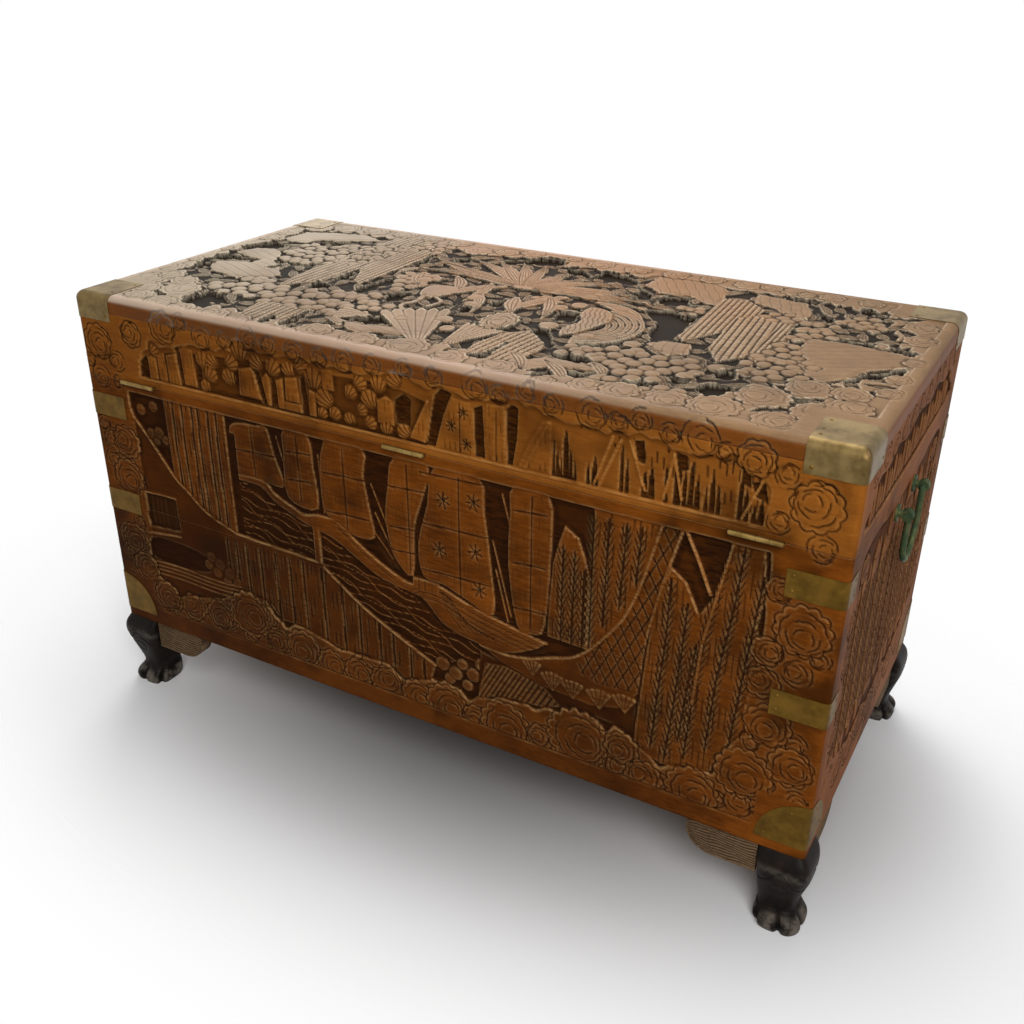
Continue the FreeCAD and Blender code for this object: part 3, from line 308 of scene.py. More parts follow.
def blur(field, reach, share=1.0):
    """The mean over a square of 2 reach + 1 places a side, or a mixture of it and the field itself."""
    out = field
    for axis in (0, 1):
        pads = [(0, 0), (0, 0)]
        pads[axis] = (reach + 1, reach)
        total = np.cumsum(np.pad(out, pads, mode="edge"), axis)
        size = field.shape[axis]
        upper = np.take(total, range(2 * reach + 1, 2 * reach + 1 + size), axis)
        lower = np.take(total, range(0, size), axis)
        out = (upper - lower) / (2 * reach + 1)
    return share * out + (1 - share) * field


def solid(name, grids, body, node, materials):
    """A mesh from grids of places in mm, faces turned out where columns run right and rows run down. A grid
    may join its last column to its first, and flat faces close the listed runs of its rim. The carving is
    kept per vertex. The piece takes the place of a node and moves with a body."""
    places, shades, loops, sizes = [], [], [], []
    start = 0
    for grid, shade, caps, ring in grids:
        rows, columns = grid.shape[:2]
        number = start + np.arange(rows * columns).reshape(rows, columns)
        start += rows * columns
        beside = np.roll(number, -1, 1)
        used = slice(None) if ring else slice(-1)
        quads = np.stack([number[:-1, used], number[1:, used], beside[1:, used], beside[:-1, used]], -1)
        rims = [np.concatenate([number[row, column] for row, column in runs]) for runs in caps]
        loops += [quads.ravel()] + rims
        sizes += [4] * (quads.size // 4) + [len(rim) for rim in rims]
        places.append(grid.reshape(-1, 3) * 0.001)
        shades.append(shade.reshape(-1, 4))
    loops, sizes, places = np.concatenate(loops), np.array(sizes), np.concatenate(places)
    mesh = bpy.data.meshes.new(name)
    mesh.vertices.add(len(places))
    mesh.vertices.foreach_set("co", places.ravel())
    mesh.loops.add(len(loops))
    mesh.loops.foreach_set("vertex_index", loops)
    mesh.polygons.add(len(sizes))
    mesh.polygons.foreach_set("loop_start", np.concatenate([[0], np.cumsum(sizes)[:-1]]))
    mesh.polygons.foreach_set("use_smooth", sizes == 4)
    mesh.polygons.foreach_set("material_index", (sizes > 4) * (len(materials) - 1))
    mesh.update(calc_edges=True)
    kept = mesh.attributes.new("carving", "FLOAT_COLOR", "POINT")
    kept.data.foreach_set("color", np.concatenate(shades).ravel())
    made = bpy.data.objects.new(name, mesh)
    bpy.context.scene.collection.objects.link(made)
    for material in materials:
        mesh.materials.append(material)
    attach(made, body)
    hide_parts(node)


FORWARD, BACKWARD = slice(None), slice(None, None, -1)
ALL_ROUND = (((0, FORWARD),), ((-1, BACKWARD),), ((FORWARD, -1), (BACKWARD, 0)))


def wall(node, body, outward, half_out, half_span, thickness, rounding, step, draw, wood):
    """A board standing on edge. Across it runs a path: over one side edge, round the corner, along the
    face and back round the other corner; each place on the path is moved along its normal by the
    carving's height. The drawing gets the path's length as u and the drop from the chest's top as v."""
    low, high = (part.z * 1000 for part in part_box(node))
    flat = half_span - rounding
    a = np.linspace(-flat, flat, int(2 * flat / step) + 1)
    o = np.zeros_like(a)
    right, out = np.zeros_like(a), np.ones_like(a)
    bend = np.radians(np.linspace(0, 90, 7)[:-1])
    side = np.linspace(-thickness, -rounding, 6)[:-1]
    edge_a = np.concatenate([0 * side - half_span, -flat - rounding * np.cos(bend)])
    edge_o = np.concatenate([side, rounding * (np.sin(bend) - 1)])
    edge_right = -np.concatenate([0 * side + 1, np.cos(bend)])
    edge_out = np.concatenate([0 * side, np.sin(bend)])
    a = np.concatenate([edge_a, a, -edge_a[::-1]])
    o = np.concatenate([edge_o, o, edge_o[::-1]])
    right = np.concatenate([edge_right, right, -edge_right[::-1]])
    out = np.concatenate([edge_out, out, edge_out[::-1]])
    run = np.concatenate([[0], np.cumsum(np.hypot(np.diff(a), np.diff(o)) + 1e-6)])
    z = np.linspace(high - 0.1, low + 0.1, int((high - low) / step) + 1)
    face = Relief(run - run[-1] / 2 + WALL_MIDDLE, WALL_TOP - z)
    draw(face)
    carving = face.colours()
    across, beyond = a + right * face.height, half_out + o + out * face.height
    fx, fy = outward
    places = np.stack([fx * beyond - fy * across, fy * beyond + fx * across,
                       np.broadcast_to(z[:, None], across.shape)], -1)
    solid(node + "_carved", [(places, carving, ALL_ROUND, False)], body, node,
          (wood, plain_camphor))


class Wire:
    """An output of a node, so that a material's sums are written as plain arithmetic."""

    def __init__(self, tree, socket=None):
        self.tree = tree
        self.socket = socket

    def add(self, kind, inputs, output=0, **settings):
        """A new node with its settings and inputs, as the wire of one of its outputs."""
        made = self.tree.nodes.new(kind)
        for name, value in settings.items():
            setattr(made, name, value)
        for key, value in inputs.items():
            if isinstance(value, Wire):
                self.tree.links.new(value.socket, made.inputs[key])
            else:
                made.inputs[key].default_value = value
        return Wire(self.tree, made.outputs[output])

    def math(self, operation, *values):
        """A sum on values."""
        return self.add("ShaderNodeMath", dict(enumerate(values)), operation=operation)

    def __add__(self, other):
        return self.math("ADD", self, other)

    def __sub__(self, other):
        return self.math("SUBTRACT", self, other)

    def __rsub__(self, other):
        return self.math("SUBTRACT", other, self)

    def __mul__(self, other):
        return self.math("MULTIPLY", self, other)

    def __truediv__(self, other):
        return self.math("DIVIDE", self, other)

    __radd__ = __add__

    def rise(self, low, high):
        """0 to 1 as this wire goes from low to high, smoothly."""
        return self.add("ShaderNodeMapRange", {0: self, 1: low, 2: high}, interpolation_type="SMOOTHSTEP")

    def mix(self, first, second):
        """One colour or the other by this wire's share."""
        return self.add("ShaderNodeMix", {0: self, 6: first, 7: second}, 2, data_type="RGBA")

    def part(self, axis):
        """One of this vector's three parts."""
        return self.add("ShaderNodeSeparateXYZ", {0: self}, axis)

    def stretch(self, x, y, z):
        """This vector with each of its parts scaled."""
        return self.add("ShaderNodeVectorMath", {0: self, 1: (x, y, z)}, operation="MULTIPLY")

    def noise(self, scale, detail, rough):
        """Soft random clouds at this vector's place."""
        return self.add("ShaderNodeTexNoise",
                        {"Vector": self, "Scale": scale, "Detail": detail, "Roughness": rough})


def paint(red, green, blue):
    """A colour given as screen values of 0 to 255."""
    parts = [value / 255 for value in (red, green, blue)]
    return tuple(p / 12.92 if p <= 0.04045 else ((p + 0.055) / 1.055) ** 2.4 for p in parts) + (1.0,)


def surface(name, colour, roughness, bump, strength, distance, constants):
    """A material's shader with its varying colour, roughness and bump, and constants by input name."""
    tree = bpy.data.materials[name].node_tree
    shader = tree.nodes["Principled BSDF"]
    lifted = bump.add("ShaderNodeBump", {"Height": bump, "Strength": strength, "Distance": distance})
    for key, wire in (("Base Color", colour), ("Roughness", roughness), ("Normal", lifted)):
        tree.links.new(wire.socket, shader.inputs[key])
    for key, value in constants.items():
        shader.inputs[key].default_value = value
    return bpy.data.materials[name]


def blank(name):
    """A new material and the start of its wires."""
    made = bpy.data.materials.new(name)
    made.use_nodes = True
    return Wire(made.node_tree)


def kept_carving(start):
    """The four parts of the carving that a piece keeps per vertex, as wires."""
    kept = start.add("ShaderNodeAttribute", {}, attribute_name="carving")
    split = start.add("ShaderNodeSeparateColor", {0: kept})
    sockets = (*split.socket.node.outputs, kept.socket.node.outputs["Alpha"])
    return [Wire(start.tree, socket) for socket in sockets]


def carved_wood(name, colours, grain, gloss, shine, rubbed=0.4, shaded_foot=False, lid=None):
    """Varnished wood: grain streaks and broad clouds between a light, a middle and a dark brown, blackened to
    a ground colour by staining and by painted shade in hollows and deep places, and turned pale on crests
    by rubbed varnish and a painted highlight. A wall may get painted shade towards its foot. A lid has
    other colours round its edge, a faded colour with painted sheen that spreads from its right end, amber
    about its front middle and a painted sheen along its rim."""
    start = blank(name)
    place = start.add("ShaderNodeTexCoord", {}, "Object")
    cavity_shade, crest_highlight, stain_and_shade, depth = kept_carving(start)
    streaks = place.stretch(*grain).noise(50.0, 5.0, 0.68)
    cloudy = place.noise(6.0, 4.0, 0.6)
    patchy = place.noise(11.0, 3.0, 0.55)
    fine = place.stretch(*grain).noise(380.0, 3.0, 0.6)
    if lid:
        edge_colours, faded_and_sheen, amber, rim_sheen = lid
        x, y = place.part(0), place.part(1)
        half_x, half_y = HALF_LENGTH * 0.001, HALF_DEPTH * 0.001
        past = x.math("MAXIMUM", x.math("ABSOLUTE", x) - half_x, y.math("ABSOLUTE", y) - half_y)
        above = 1 - (past + cloudy * 0.001).rise(-0.0014, 0.0005)
        colours = [above.mix(side, top) for side, top in zip(edge_colours, colours)]
    light, mid, dark, ground, worn = colours
    if lid:
        # faded varnish and painted sheen spreading from the right end
        fade_and_sheen_share = (x + cloudy * 0.5).rise(0.32, 0.76) * above * 0.6
        light, mid, dark = fade_and_sheen_share.mix(light, faded_and_sheen), fade_and_sheen_share.mix(mid, faded_and_sheen), (fade_and_sheen_share * 0.5).mix(dark, faded_and_sheen)
    tint = (streaks * 0.5 + cloudy - 0.3).rise(0.18, 0.72).mix(mid, light)
    tint = (fine.rise(0.45, 0.8) * 0.4).mix(tint, dark)
    if lid:
        across, back = (x + 0.02) / 0.30, (y + 0.16) / 0.24
        tint = ((patchy * 1.6 - across * across - back * back).rise(-0.3, 0.8) * 0.7).mix(tint, amber)
    else:
        tint = (patchy.rise(0.48, 0.70) * 0.75).mix(tint, dark)
    # painted shade: hollows and deep places darken towards the ground colour, together with the staining
    shade = (stain_and_shade * 0.9 + cavity_shade * 0.85 + depth * 0.3).rise(0.05, 1.0)
    shade = shade * (0.97 if lid else 0.76 + streaks.rise(0.35, 0.6) * 0.24)
    tint = shade.mix(tint, ground)
    if lid:
        # painted sheen: a pale band along the top's rim
        tint = (past.rise(-0.020, -0.008) * above * x.rise(-0.34, -0.05) * 0.36).mix(tint, rim_sheen)
    # painted shade towards the foot of a wall
    if shaded_foot:
        foot_shade = (0.30 - place.part(2) + cloudy * 0.04).rise(0.0, 0.08) * place.part(0).rise(-0.36, -0.24)
        tint = (foot_shade * 0.5).mix(tint, ground)
    # the worn colour on crests is rubbed varnish and a painted highlight
    tint = (crest_highlight * (1 - stain_and_shade * 0.5) * streaks.rise(0.3, 0.6) * rubbed).mix(tint, worn)
    rough = gloss + streaks * 0.2 + shade * 0.3
    return surface(name, tint, rough, streaks * 0.6 + fine * 0.4, 0.16, 0.0007, {"Specular IOR Level": shine})


back_colours = [paint(136, 73, 18), paint(72, 35, 6), paint(42, 19, 3), paint(36, 17, 6),
                paint(206, 164, 108)]
# the back wall gets painted shade towards its foot
carved_back = carved_wood("carved_back", back_colours, (1.0, 6.0, 6.0), 0.45, 0.03, 0.44, True)

# bare planed camphor inside and on the edges: long streaks along the chest with finer ones between them
start = blank("bare_camphor")
place = start.add("ShaderNodeTexCoord", {}, "Object").stretch(1.0, 7.0, 7.0)
streaks = place.noise(38.0, 5.0, 0.6)
fine = place.noise(300.0, 2.0, 0.5)
tint = (streaks * 0.8 + fine * 0.3).rise(0.3, 0.85).mix(paint(186, 138, 86), paint(132, 84, 46))
plain_camphor = surface("bare_camphor", tint, 0.5 + fine * 0.2, streaks * 0.5 + fine * 0.5, 0.15, 0.0005, {})

# the picture's pieces in mm, u across and v down: outlines and lines, blossoms with a radius, spikes as two
# edges and a top, and clouds with a radius and a turn
BLOSSOMS = ((145, 64, 9), (226, 61, 12), (241, 61, 10), (237, 78, 11), (266, 75, 11), (272, 57, 11),
            (287, 38, 14), (311, 49, 11), (336, 50, 12), (359, 49, 10), (378, 41, 11), (395, 53, 14),
            (409, 75, 13), (447, 60, 9), (473, 63, 12), (461, 46, 10), (486, 42, 11), (508, 34, 11),
            (423, 91, 9), (444, 93, 8), (473, 92, 9), (495, 94, 9), (519, 93, 10), (405, 94, 8),
            (226, 95, 9), (462, 78, 8))
BOARDS = ([(133, 101), (133, 74), (147, 66), (148, 101)], [(150, 101), (149, 67), (162, 64), (164, 101)],
          [(166, 101), (165, 66), (182, 61), (186, 101)],
          [(192, 99), (190, 56), (197, 49), (210, 52), (212, 99)],
          [(281, 95), (283, 62), (302, 57), (307, 62), (314, 95)],
          [(323, 100), (317, 68), (325, 60), (330, 66), (329, 100)],
          [(340, 100), (339, 66), (349, 62), (350, 100)], [(352, 88), (353, 60), (370, 57), (373, 88)],
          [(350, 100), (350, 90), (375, 90), (376, 100)], [(408, 63), (408, 40), (422, 38), (424, 63)],
          [(386, 100), (388, 68), (397, 70), (396, 100)],
          [(484, 88), (484, 62), (496, 55), (505, 60), (506, 88)],
          [(528, 98), (545, 60), (551, 50), (553, 62), (547, 100)],
          [(560, 101), (572, 62), (583, 40), (605, 42), (608, 101)],
          [(632, 101), (624, 72), (625, 38), (647, 37), (649, 101)],
          [(664, 101), (676, 72), (692, 44), (702, 42), (703, 101)])
RAIL_GAPS = ([(117, 102), (119, 82), (130, 72), (132, 102)], [(182, 54), (187, 52), (191, 99), (188, 100)],
             [(213, 100), (214, 68), (221, 64), (221, 100)], [(306, 61), (312, 58), (324, 100), (317, 100)],
             [(330, 100), (331, 74), (334, 64), (339, 78), (339, 100)],
             [(375, 57), (381, 55), (385, 101), (377, 101)],
             [(507, 58), (520, 48), (528, 54), (526, 84), (509, 84)],
             [(560, 42), (568, 33), (581, 36), (570, 62), (559, 101), (549, 101), (556, 62)],
             [(609, 47), (619, 42), (622, 101), (611, 101)],
             [(649, 40), (655, 34), (662, 36), (661, 70), (656, 101), (651, 101)],
             [(794, 44), (804, 42), (806, 66), (799, 64)], [(838, 46), (849, 48), (851, 62), (842, 66)],
             [(904, 42), (913, 50), (915, 66), (907, 64)], [(915, 60), (928, 58), (933, 78), (921, 74)])
SPIKES = ((704, 707, 62), (707, 712, 72), (712, 716, 80), (716, 722, 46), (722, 727, 66), (728, 732, 78),
          (743, 747, 76), (749, 756, 70), (780, 784, 50), (786, 790, 64), (804, 811, 72), (811, 818, 66),
          (828, 832, 60), (838, 846, 50), (847, 852, 60), (853, 859, 52), (859, 866, 68), (870, 874, 74),
          (875, 881, 60), (882, 887, 72), (904, 909, 50), (909, 915, 66), (918, 924, 80), (924, 931, 74))
SEAMS = ([(917, 131), (912, 205), (902, 285), (897, 385)], [(939, 157), (930, 265), (923, 365)],
         [(902, 133), (887, 229), (879, 305), (874, 405)], [(844, 185), (843, 265), (839, 325), (835, 405)],
         [(864, 209), (861, 285), (856, 365), (852, 415)], [(877, 255), (870, 325), (866, 385)],
         [(720, 180), (720, 302)], [(734, 184), (733, 302)], [(746, 205), (746, 302)],
         [(754, 135), (754, 296)], [(772, 135), (770, 268)], [(792, 135), (788, 240)],
         [(809, 135), (805, 205)])
LID_CLOUDS = ((164, 28, 21, 10), (230, 30, 17, 80), (112, 47, 17, 200), (50, 66, 24, 40),
              (46, 112, 17, 100), (300, 22, 16, 0), (372, 24, 15, 120), (440, 22, 16, 60),
              (520, 18, 12, 10), (610, 20, 17, 30), (672, 16, 12, 300), (745, 24, 18, 10),
              (800, 18, 13, 90), (860, 24, 21, 40), (920, 32, 18, 110), (982, 68, 26, 220),
              (988, 110, 16, 20), (80, 88, 15, 160), (945, 95, 13, 300), (195, 18, 12, 30),
              (265, 28, 12, 90), (335, 24, 13, 200), (405, 26, 13, 10), (480, 20, 13, 130),
              (560, 22, 13, 250), (640, 24, 12, 70), (705, 24, 13, 190), (775, 28, 12, 310),
              (830, 26, 12, 50), (890, 34, 12, 150), (950, 46, 14, 260), (28, 92, 12, 20),
              (75, 116, 10, 110))
EDGE_CLOUDS = ((105, 430, 24, 40), (153, 434, 22, 250), (203, 430, 24, 80), (257, 413, 36, 20),
               (304, 440, 22, 160), (346, 437, 29, 110), (392, 447, 24, 20), (435, 446, 24, 10),
               (479, 446, 27, 290), (524, 448, 24, 30), (568, 446, 31, 30), (610, 450, 20, 120),
               (650, 445, 35, 60), (700, 446, 22, 200), (746, 427, 41, 15), (801, 420, 23, 130),
               (830, 450, 25, 210), (887, 444, 33, 40), (990, 370, 26, 20), (942, 397, 34, 60),
               (961, 326, 27, 110), (950, 276, 20, 220), (950, 238, 18, 10), (983, 204, 31, 80),
               (955, 165, 15, 0), (72, 202, 25, 200), (66, 254, 27, 60), (60, 350, 25, 100),
               (72, 392, 24, 10), (48, 66, 24, 40), (110, 48, 18, 200), (166, 30, 22, 10),
               (980, 70, 27, 220), (918, 34, 20, 110))
SCENE_CLOUDS = ((440, 436, 24, 10), (500, 447, 17, 90), (555, 441, 25, 30), (655, 444, 29, 60),
                (745, 436, 27, 15), (803, 441, 23, 130), (885, 447, 25, 40), (940, 440, 18, 300),
                (942, 392, 28, 60), (988, 367, 22, 20), (980, 203, 28, 80), (985, 255, 17, 210),
                (952, 235, 15, 10), (962, 320, 20, 110), (990, 338, 15, 60), (955, 165, 13, 0),
                (1000, 410, 15, 30), (280, 405, 28, 20), (215, 428, 22, 80), (340, 432, 24, 160),
                (390, 440, 18, 20), (130, 447, 20, 40), (60, 400, 22, 10), (50, 345, 22, 100),
                (58, 255, 22, 60), (52, 205, 20, 200), (40, 232, 14, 20), (170, 432, 20, 250),
                (255, 445, 16, 0), (600, 448, 15, 45), (700, 450, 16, 200), (848, 446, 15, 100),
                (45, 370, 14, 30), (80, 415, 14, 200), (35, 180, 12, 70), (75, 235, 11, 160),
                (30, 300, 13, 250), (72, 322, 12, 340), (35, 420, 14, 80), (105, 442, 14, 170),
                (300, 442, 15, 20), (365, 450, 11, 110), (420, 452, 11, 200), (470, 442, 14, 290),
                (525, 451, 11, 30), (628, 450, 12, 120), (772, 450, 13, 210), (915, 444, 13, 300),
                (965, 442, 12, 40), (1005, 230, 12, 130), (950, 270, 12, 220), (1003, 300, 11, 310),
                (945, 350, 13, 60), (968, 400, 12, 150), (1008, 440, 10, 240))


def harbour(face):
    """The whole picture of a long wall, from the lid's cloud border down to the plain base band."""
    # the lid's panel: boards, reeds and striped blossom on a low ground with deep narrow gaps
    crown = [(124, 103), (122, 82), (134, 66), (142, 55), (165, 60), (190, 52), (207, 46), (235, 48),
             (262, 46), (300, 36), (340, 37), (380, 35), (430, 38), (470, 36), (500, 31), (515, 28),
             (530, 31), (545, 40), (570, 31), (600, 38), (635, 35), (660, 31), (675, 33), (700, 38),
             (728, 42), (740, 38), (757, 44), (785, 40), (815, 38), (835, 44), (852, 46), (880, 42),
             (895, 38), (906, 42), (926, 54), (934, 76), (930, 103)]
    face.area(np.vstack([crown[:1], lobed(crown[1:-1], 24, 5, False), crown[-1:]]), -2.0, 0.9, 0.2)
    face.dashes(crown[24:], 6.5, 30, 0.6, 0.85)
    face.area([(124, 103), (123, 84), (136, 70), (190, 58), (262, 52), (340, 44), (430, 44), (500, 40),
               (550, 52), (549, 103)], -2.8, 0.9, 0.55)
    for gap in RAIL_GAPS:
        face.area(gap, -5.0, 0.8, 0.92)
    for first, last, top in SPIKES:
        face.area([(first, 102), (first + 0.6, top + 14), ((first + last) / 2, top), (last - 0.6, top + 20),
                   (last, 102)], -4.6, 0.7, 0.88)
    for number, board in enumerate(BOARDS):
        face.area(board, -1.0 - 0.3 * (number % 2), 0.9, 0.03, 0.5)
        face.dashes(board, 6.5, 34, 0.4, 0.6)
    for root, tip in (((752, 100), (771, 44)), ((758, 100), (780, 46)), ((790, 45), (808, 95)),
                      ((828, 99), (837, 48)), ((838, 55), (847, 96)), ((909, 100), (927, 54)),
                      ((672, 100), (699, 44)), ((528, 97), (551, 50))):
        face.ridge([root, tip], -0.6, 3.0, -0.2)
    for u in (592, 637):
        face.cut([(u, 44), (u, 100)], 0.9, 1.8, 0.8)
    for spot in ((581, 72), (600, 90), (596, 54)):
        face.star(spot, 6)
    for number, (u, v, radius) in enumerate(BLOSSOMS):
        face.shell((u, v), radius, 90 + 28 * ((number * 7) % 5 - 2))
    face.ridge([(112, 103.6), (400, 104.2), (640, 104), (944, 103.4)], -0.1, 3.0, -0.6)
    face.cut([(112, 106.6), (944, 106.4)], 0.7, 1.8, 0.5)
    # the body's panel
    shore = [(85, 392), (100, 405), (125, 428), (138, 414), (150, 410), (163, 402), (175, 403), (190, 400),
             (205, 405), (222, 396), (235, 392), (250, 380), (270, 378), (290, 385), (300, 400), (312, 408),
             (320, 415), (333, 405), (345, 405), (365, 403), (385, 412), (408, 420), (420, 414), (435, 417),
             (447, 409), (460, 412), (475, 410), (485, 418), (505, 432), (517, 422), (530, 422), (543, 414),
             (555, 417), (567, 411), (575, 416), (588, 418), (600, 428), (615, 416), (630, 416), (645, 405),
             (660, 407), (675, 402), (690, 408), (705, 399), (720, 400), (733, 391), (745, 392), (762, 391),
             (775, 398), (782, 405), (790, 393), (800, 392), (815, 407), (835, 415), (848, 428), (862, 417),
             (880, 417), (893, 410), (908, 413)]
    right = [(914, 398), (917, 384), (924, 366), (931, 350), (934, 330), (932, 312), (936, 292), (939, 272),
             (937, 250), (941, 232), (944, 222), (944, 196), (942, 182), (944, 160), (942, 128)]
    left = [(90, 128), (90, 150), (97, 178), (90, 205), (98, 232), (92, 256), (98, 282), (90, 305),
            (95, 330), (86, 360)]
    face.area(np.vstack([curve(left + shore, False, 3), curve(right, False, 3)]), -3.8, 0.9, 0.66)
    for u, v, size in ((118, 182, 9), (132, 178, 9), (142, 186, 7), (126, 190, 7), (105, 150, 8),
                       (128, 142, 8)):
        face.ball((u, v), size, -1.8, 2.0, 0.3)
    sky = [(262, 128), (704, 128), (704, 300), (640, 304), (560, 280), (470, 272), (388, 230), (320, 216),
           (262, 206)]
    face.area(sky, -3.6, 0.9, 0.8)
    for root, tip in (((470, 232), (494, 262)), ((472, 206), (498, 258)), ((468, 170), (490, 222)),
                      ((632, 200), (656, 292)), ((636, 236), (652, 300)), ((644, 140), (654, 176)),
                      ((392, 150), (396, 226)), ((330, 140), (346, 200))):
        face.ridge([root, tip], -2.4, 2.2, 0.0)
    # fence of upright boards behind the bank
    fence = [(148, 128), (250, 128), (251, 296), (232, 294), (200, 280), (172, 256), (150, 240)]
    face.area(fence, -1.5, 0.9, 0.08)
    face.dashes(fence, 6.0, 62, 0.8, 0.85)
    for u, low in ((163, 248), (178, 262), (195, 275), (205, 280), (222, 289), (235, 292)):
        face.cut([(u + 1, 128), (u - 1, 190), (u + 1, low)], 2.2, 3.2, 0.9)
    # sails, each with its bolt rope, one upright seam and its battens
    sails = (
        ([(255, 150), (268, 134), (300, 131), (317, 130), (326, 165), (338, 204), (310, 206), (262, 206)],
         292, (168,)),
        ([(342, 128), (380, 128), (385, 165), (388, 222), (350, 224), (338, 205), (340, 160)],
         362, (153, 190)),
        ([(403, 128), (460, 128), (459, 160), (466, 205), (470, 240), (440, 245), (405, 230), (394, 206)],
         430, (168, 219)),
        ([(502, 128), (550, 128), (540, 172), (528, 212), (524, 276), (500, 262), (487, 214), (492, 166)],
         520, (163, 215, 246)),
        ([(556, 128), (616, 128), (622, 165), (630, 228), (634, 296), (600, 288), (566, 276), (538, 272),
          (532, 230), (546, 176)],
         589, (135, 199, 260)),
        ([(657, 128), (702, 128), (706, 190), (700, 290), (684, 306), (664, 300), (652, 224), (654, 160)],
         681, (152, 217, 275)),
    )
    for outline, upright, battens in sails:
        face.area(curve(outline, True, 3), -1.4, 1.0, 0.04, 0.6)
        lowest, highest = np.min(outline, 0), np.max(outline, 0)
        face.cut([(upright, lowest[1] + 4), (upright + 1, highest[1] - 6)], 1.0, 2.2, 0.85)
        for v in battens:
            face.cut(curve([(lowest[0] + 6, v + 2), ((lowest[0] + highest[0]) / 2, v),
                            (highest[0] - 6, v - 1)]), 1.1, 2.4, 0.9)
        face.dashes(outline, 11.0, 36, 0.3, 0.35)
    for spot in ((568, 165), (608, 158), (562, 230), (610, 220), (615, 268)):
        face.star(spot, 9.5)
    # sea between the bank and the hull, with pale wave lines
    sea = [(258, 214), (300, 216), (345, 242), (388, 252), (440, 278), (520, 302), (556, 330), (612, 346),
           (640, 360), (612, 372), (560, 396), (500, 372), (440, 340), (388, 303), (378, 296), (258, 293)]
    face.area(sea, -3.6, 1.0, 0.7)
    face.hatch(sea, 12.0, 5, -0.8, 1.9, 3.2, 74, -0.3)
    face.hatch(sea, 23.0, 24, -0.6, 1.7, 3.0, 90, 0.0)
    # hull of the long junk with its deck house, strakes and bow
    sheer = [(262, 205), (305, 205), (320, 218), (350, 231), (365, 236), (388, 231), (412, 232), (425, 239),
             (450, 257), (475, 271), (505, 285), (523, 288), (532, 281), (560, 280), (600, 293), (640, 302),
             (702, 313)]
    keel = [(690, 324), (664, 338), (640, 344), (610, 342), (582, 337), (560, 327), (536, 304), (500, 298),
            (470, 291), (440, 275), (410, 259), (388, 253), (365, 248), (345, 241), (318, 229), (298, 214),
            (262, 213)]
    face.area(np.vstack([curve(sheer), curve(keel)]), -1.5, 0.9, 0.1, 0.4)
    for drop in (7, 14, 21):
        strake = [(u, v + drop) for u, v in sheer[5:]]
        face.cut(curve(strake if drop < 12 else strake[6:]), 0.8, 1.8, 0.7)
    face.ridge(curve(sheer), -0.7, 3.0, -0.5)
    face.area([(523, 277), (560, 277), (560, 292), (523, 292)], -0.8, 0.7, 0.1)
    for u in (532, 541, 550):
        face.cut([(u, 278), (u, 291)], 0.7, 1.6, 0.8)
    face.area([(385, 231), (414, 232), (416, 246), (385, 245)], -0.9, 0.7, 0.1)
    face.hatch([(474, 230), (488, 236), (508, 262), (516, 282), (486, 268), (476, 250)], 5.0, 50, 0.9, 1.8,
               0, 40, 0.7)
    for number in range(7):
        face.cut(curve([(562 + 2 * number, 284 + number), (570 + 5 * number, 306 + 2 * number),
                        (592 + 9 * number, 330)]), 0.7, 1.6, 0.7)
    # the dark mast beside the fence and the mooring post
    face.area([(252, 150), (264, 150), (262, 292), (252, 291)], -3.6, 0.8, 0.7)
    face.area([(376, 236), (387, 236), (388, 306), (377, 306)], -0.9, 0.8, 0.15)
    # bank on the left with a hut, a rail going down to the right and the palisade under it
    bank = [(92, 163), (115, 190), (150, 235), (170, 251), (200, 275), (240, 290), (262, 294), (380, 298),
            (390, 303), (410, 318), (450, 345), (500, 370), (552, 394)]
    face.area(np.vstack([curve(bank), [(545, 418), (505, 430), (485, 416), (408, 418), (345, 404),
                                       (312, 406), (290, 384), (250, 379), (205, 404), (125, 426),
                                       (88, 392), (92, 340), (97, 270), (92, 230)]]), -1.9, 0.9, 0.3)
    face.area([(92, 163), (115, 190), (150, 235), (170, 251), (225, 286), (232, 330), (215, 400),
               (125, 426), (88, 392), (92, 230)], -2.1, 9.0, 0.5)
    palisade = [(230, 300), (386, 304), (470, 356), (545, 398), (540, 416), (485, 414), (408, 416),
                (345, 402), (232, 392)]
    face.dashes(palisade, 7.0, 58, 0.7, 0.8)
    for u in (230, 245, 262, 285, 310, 333, 355, 385, 415, 440, 470, 490, 515, 535):
        top = 303 if u < 386 else 303 + (u - 386) * 0.57
        bottom = np.interp(u, [230, 312, 345, 408, 505, 545], [390, 405, 403, 417, 428, 417])
        if top + 8 < bottom:
            face.cut([(u, top + 3), (u + 1, bottom)], 2.0, 3.0, 0.9)
    face.ridge(curve(bank[:8]), -0.6, 3.4, -0.8)
    face.ridge(curve(bank[8:]), -0.6, 3.4, -0.8)
    face.area([(92, 272), (144, 270), (146, 318), (92, 322)], -4.2, 0.8, 0.8)
    for u in (100, 108, 116, 124, 132, 140):
        face.cut([(u, 274), (u, 316)], 0.6, 1.8, 0.3)
    face.ridge([(90, 271), (146, 269)], -0.8, 3.0, -0.3)
    face.ridge([(84, 334), (146, 326)], -0.8, 3.2, -0.9)
    face.area(curve([(90, 342), (140, 338), (190, 346), (192, 366), (150, 374), (92, 372)], True, 3), -3.0,
              0.8, 0.8)
    for u, v, size in ((198, 342, 9), (212, 350, 10), (228, 360, 10), (206, 364, 9), (240, 370, 8),
                       (222, 374, 8), (192, 356, 8)):
        face.ball((u, v), size, -0.9, 2.0, 0.35)
    for v in (377, 383, 389, 396):
        face.ridge(curve([(88, v + 1), (140, v - 1), (200, v + 1), (246, v - 2)]), -1.2, 2.6, -0.5)
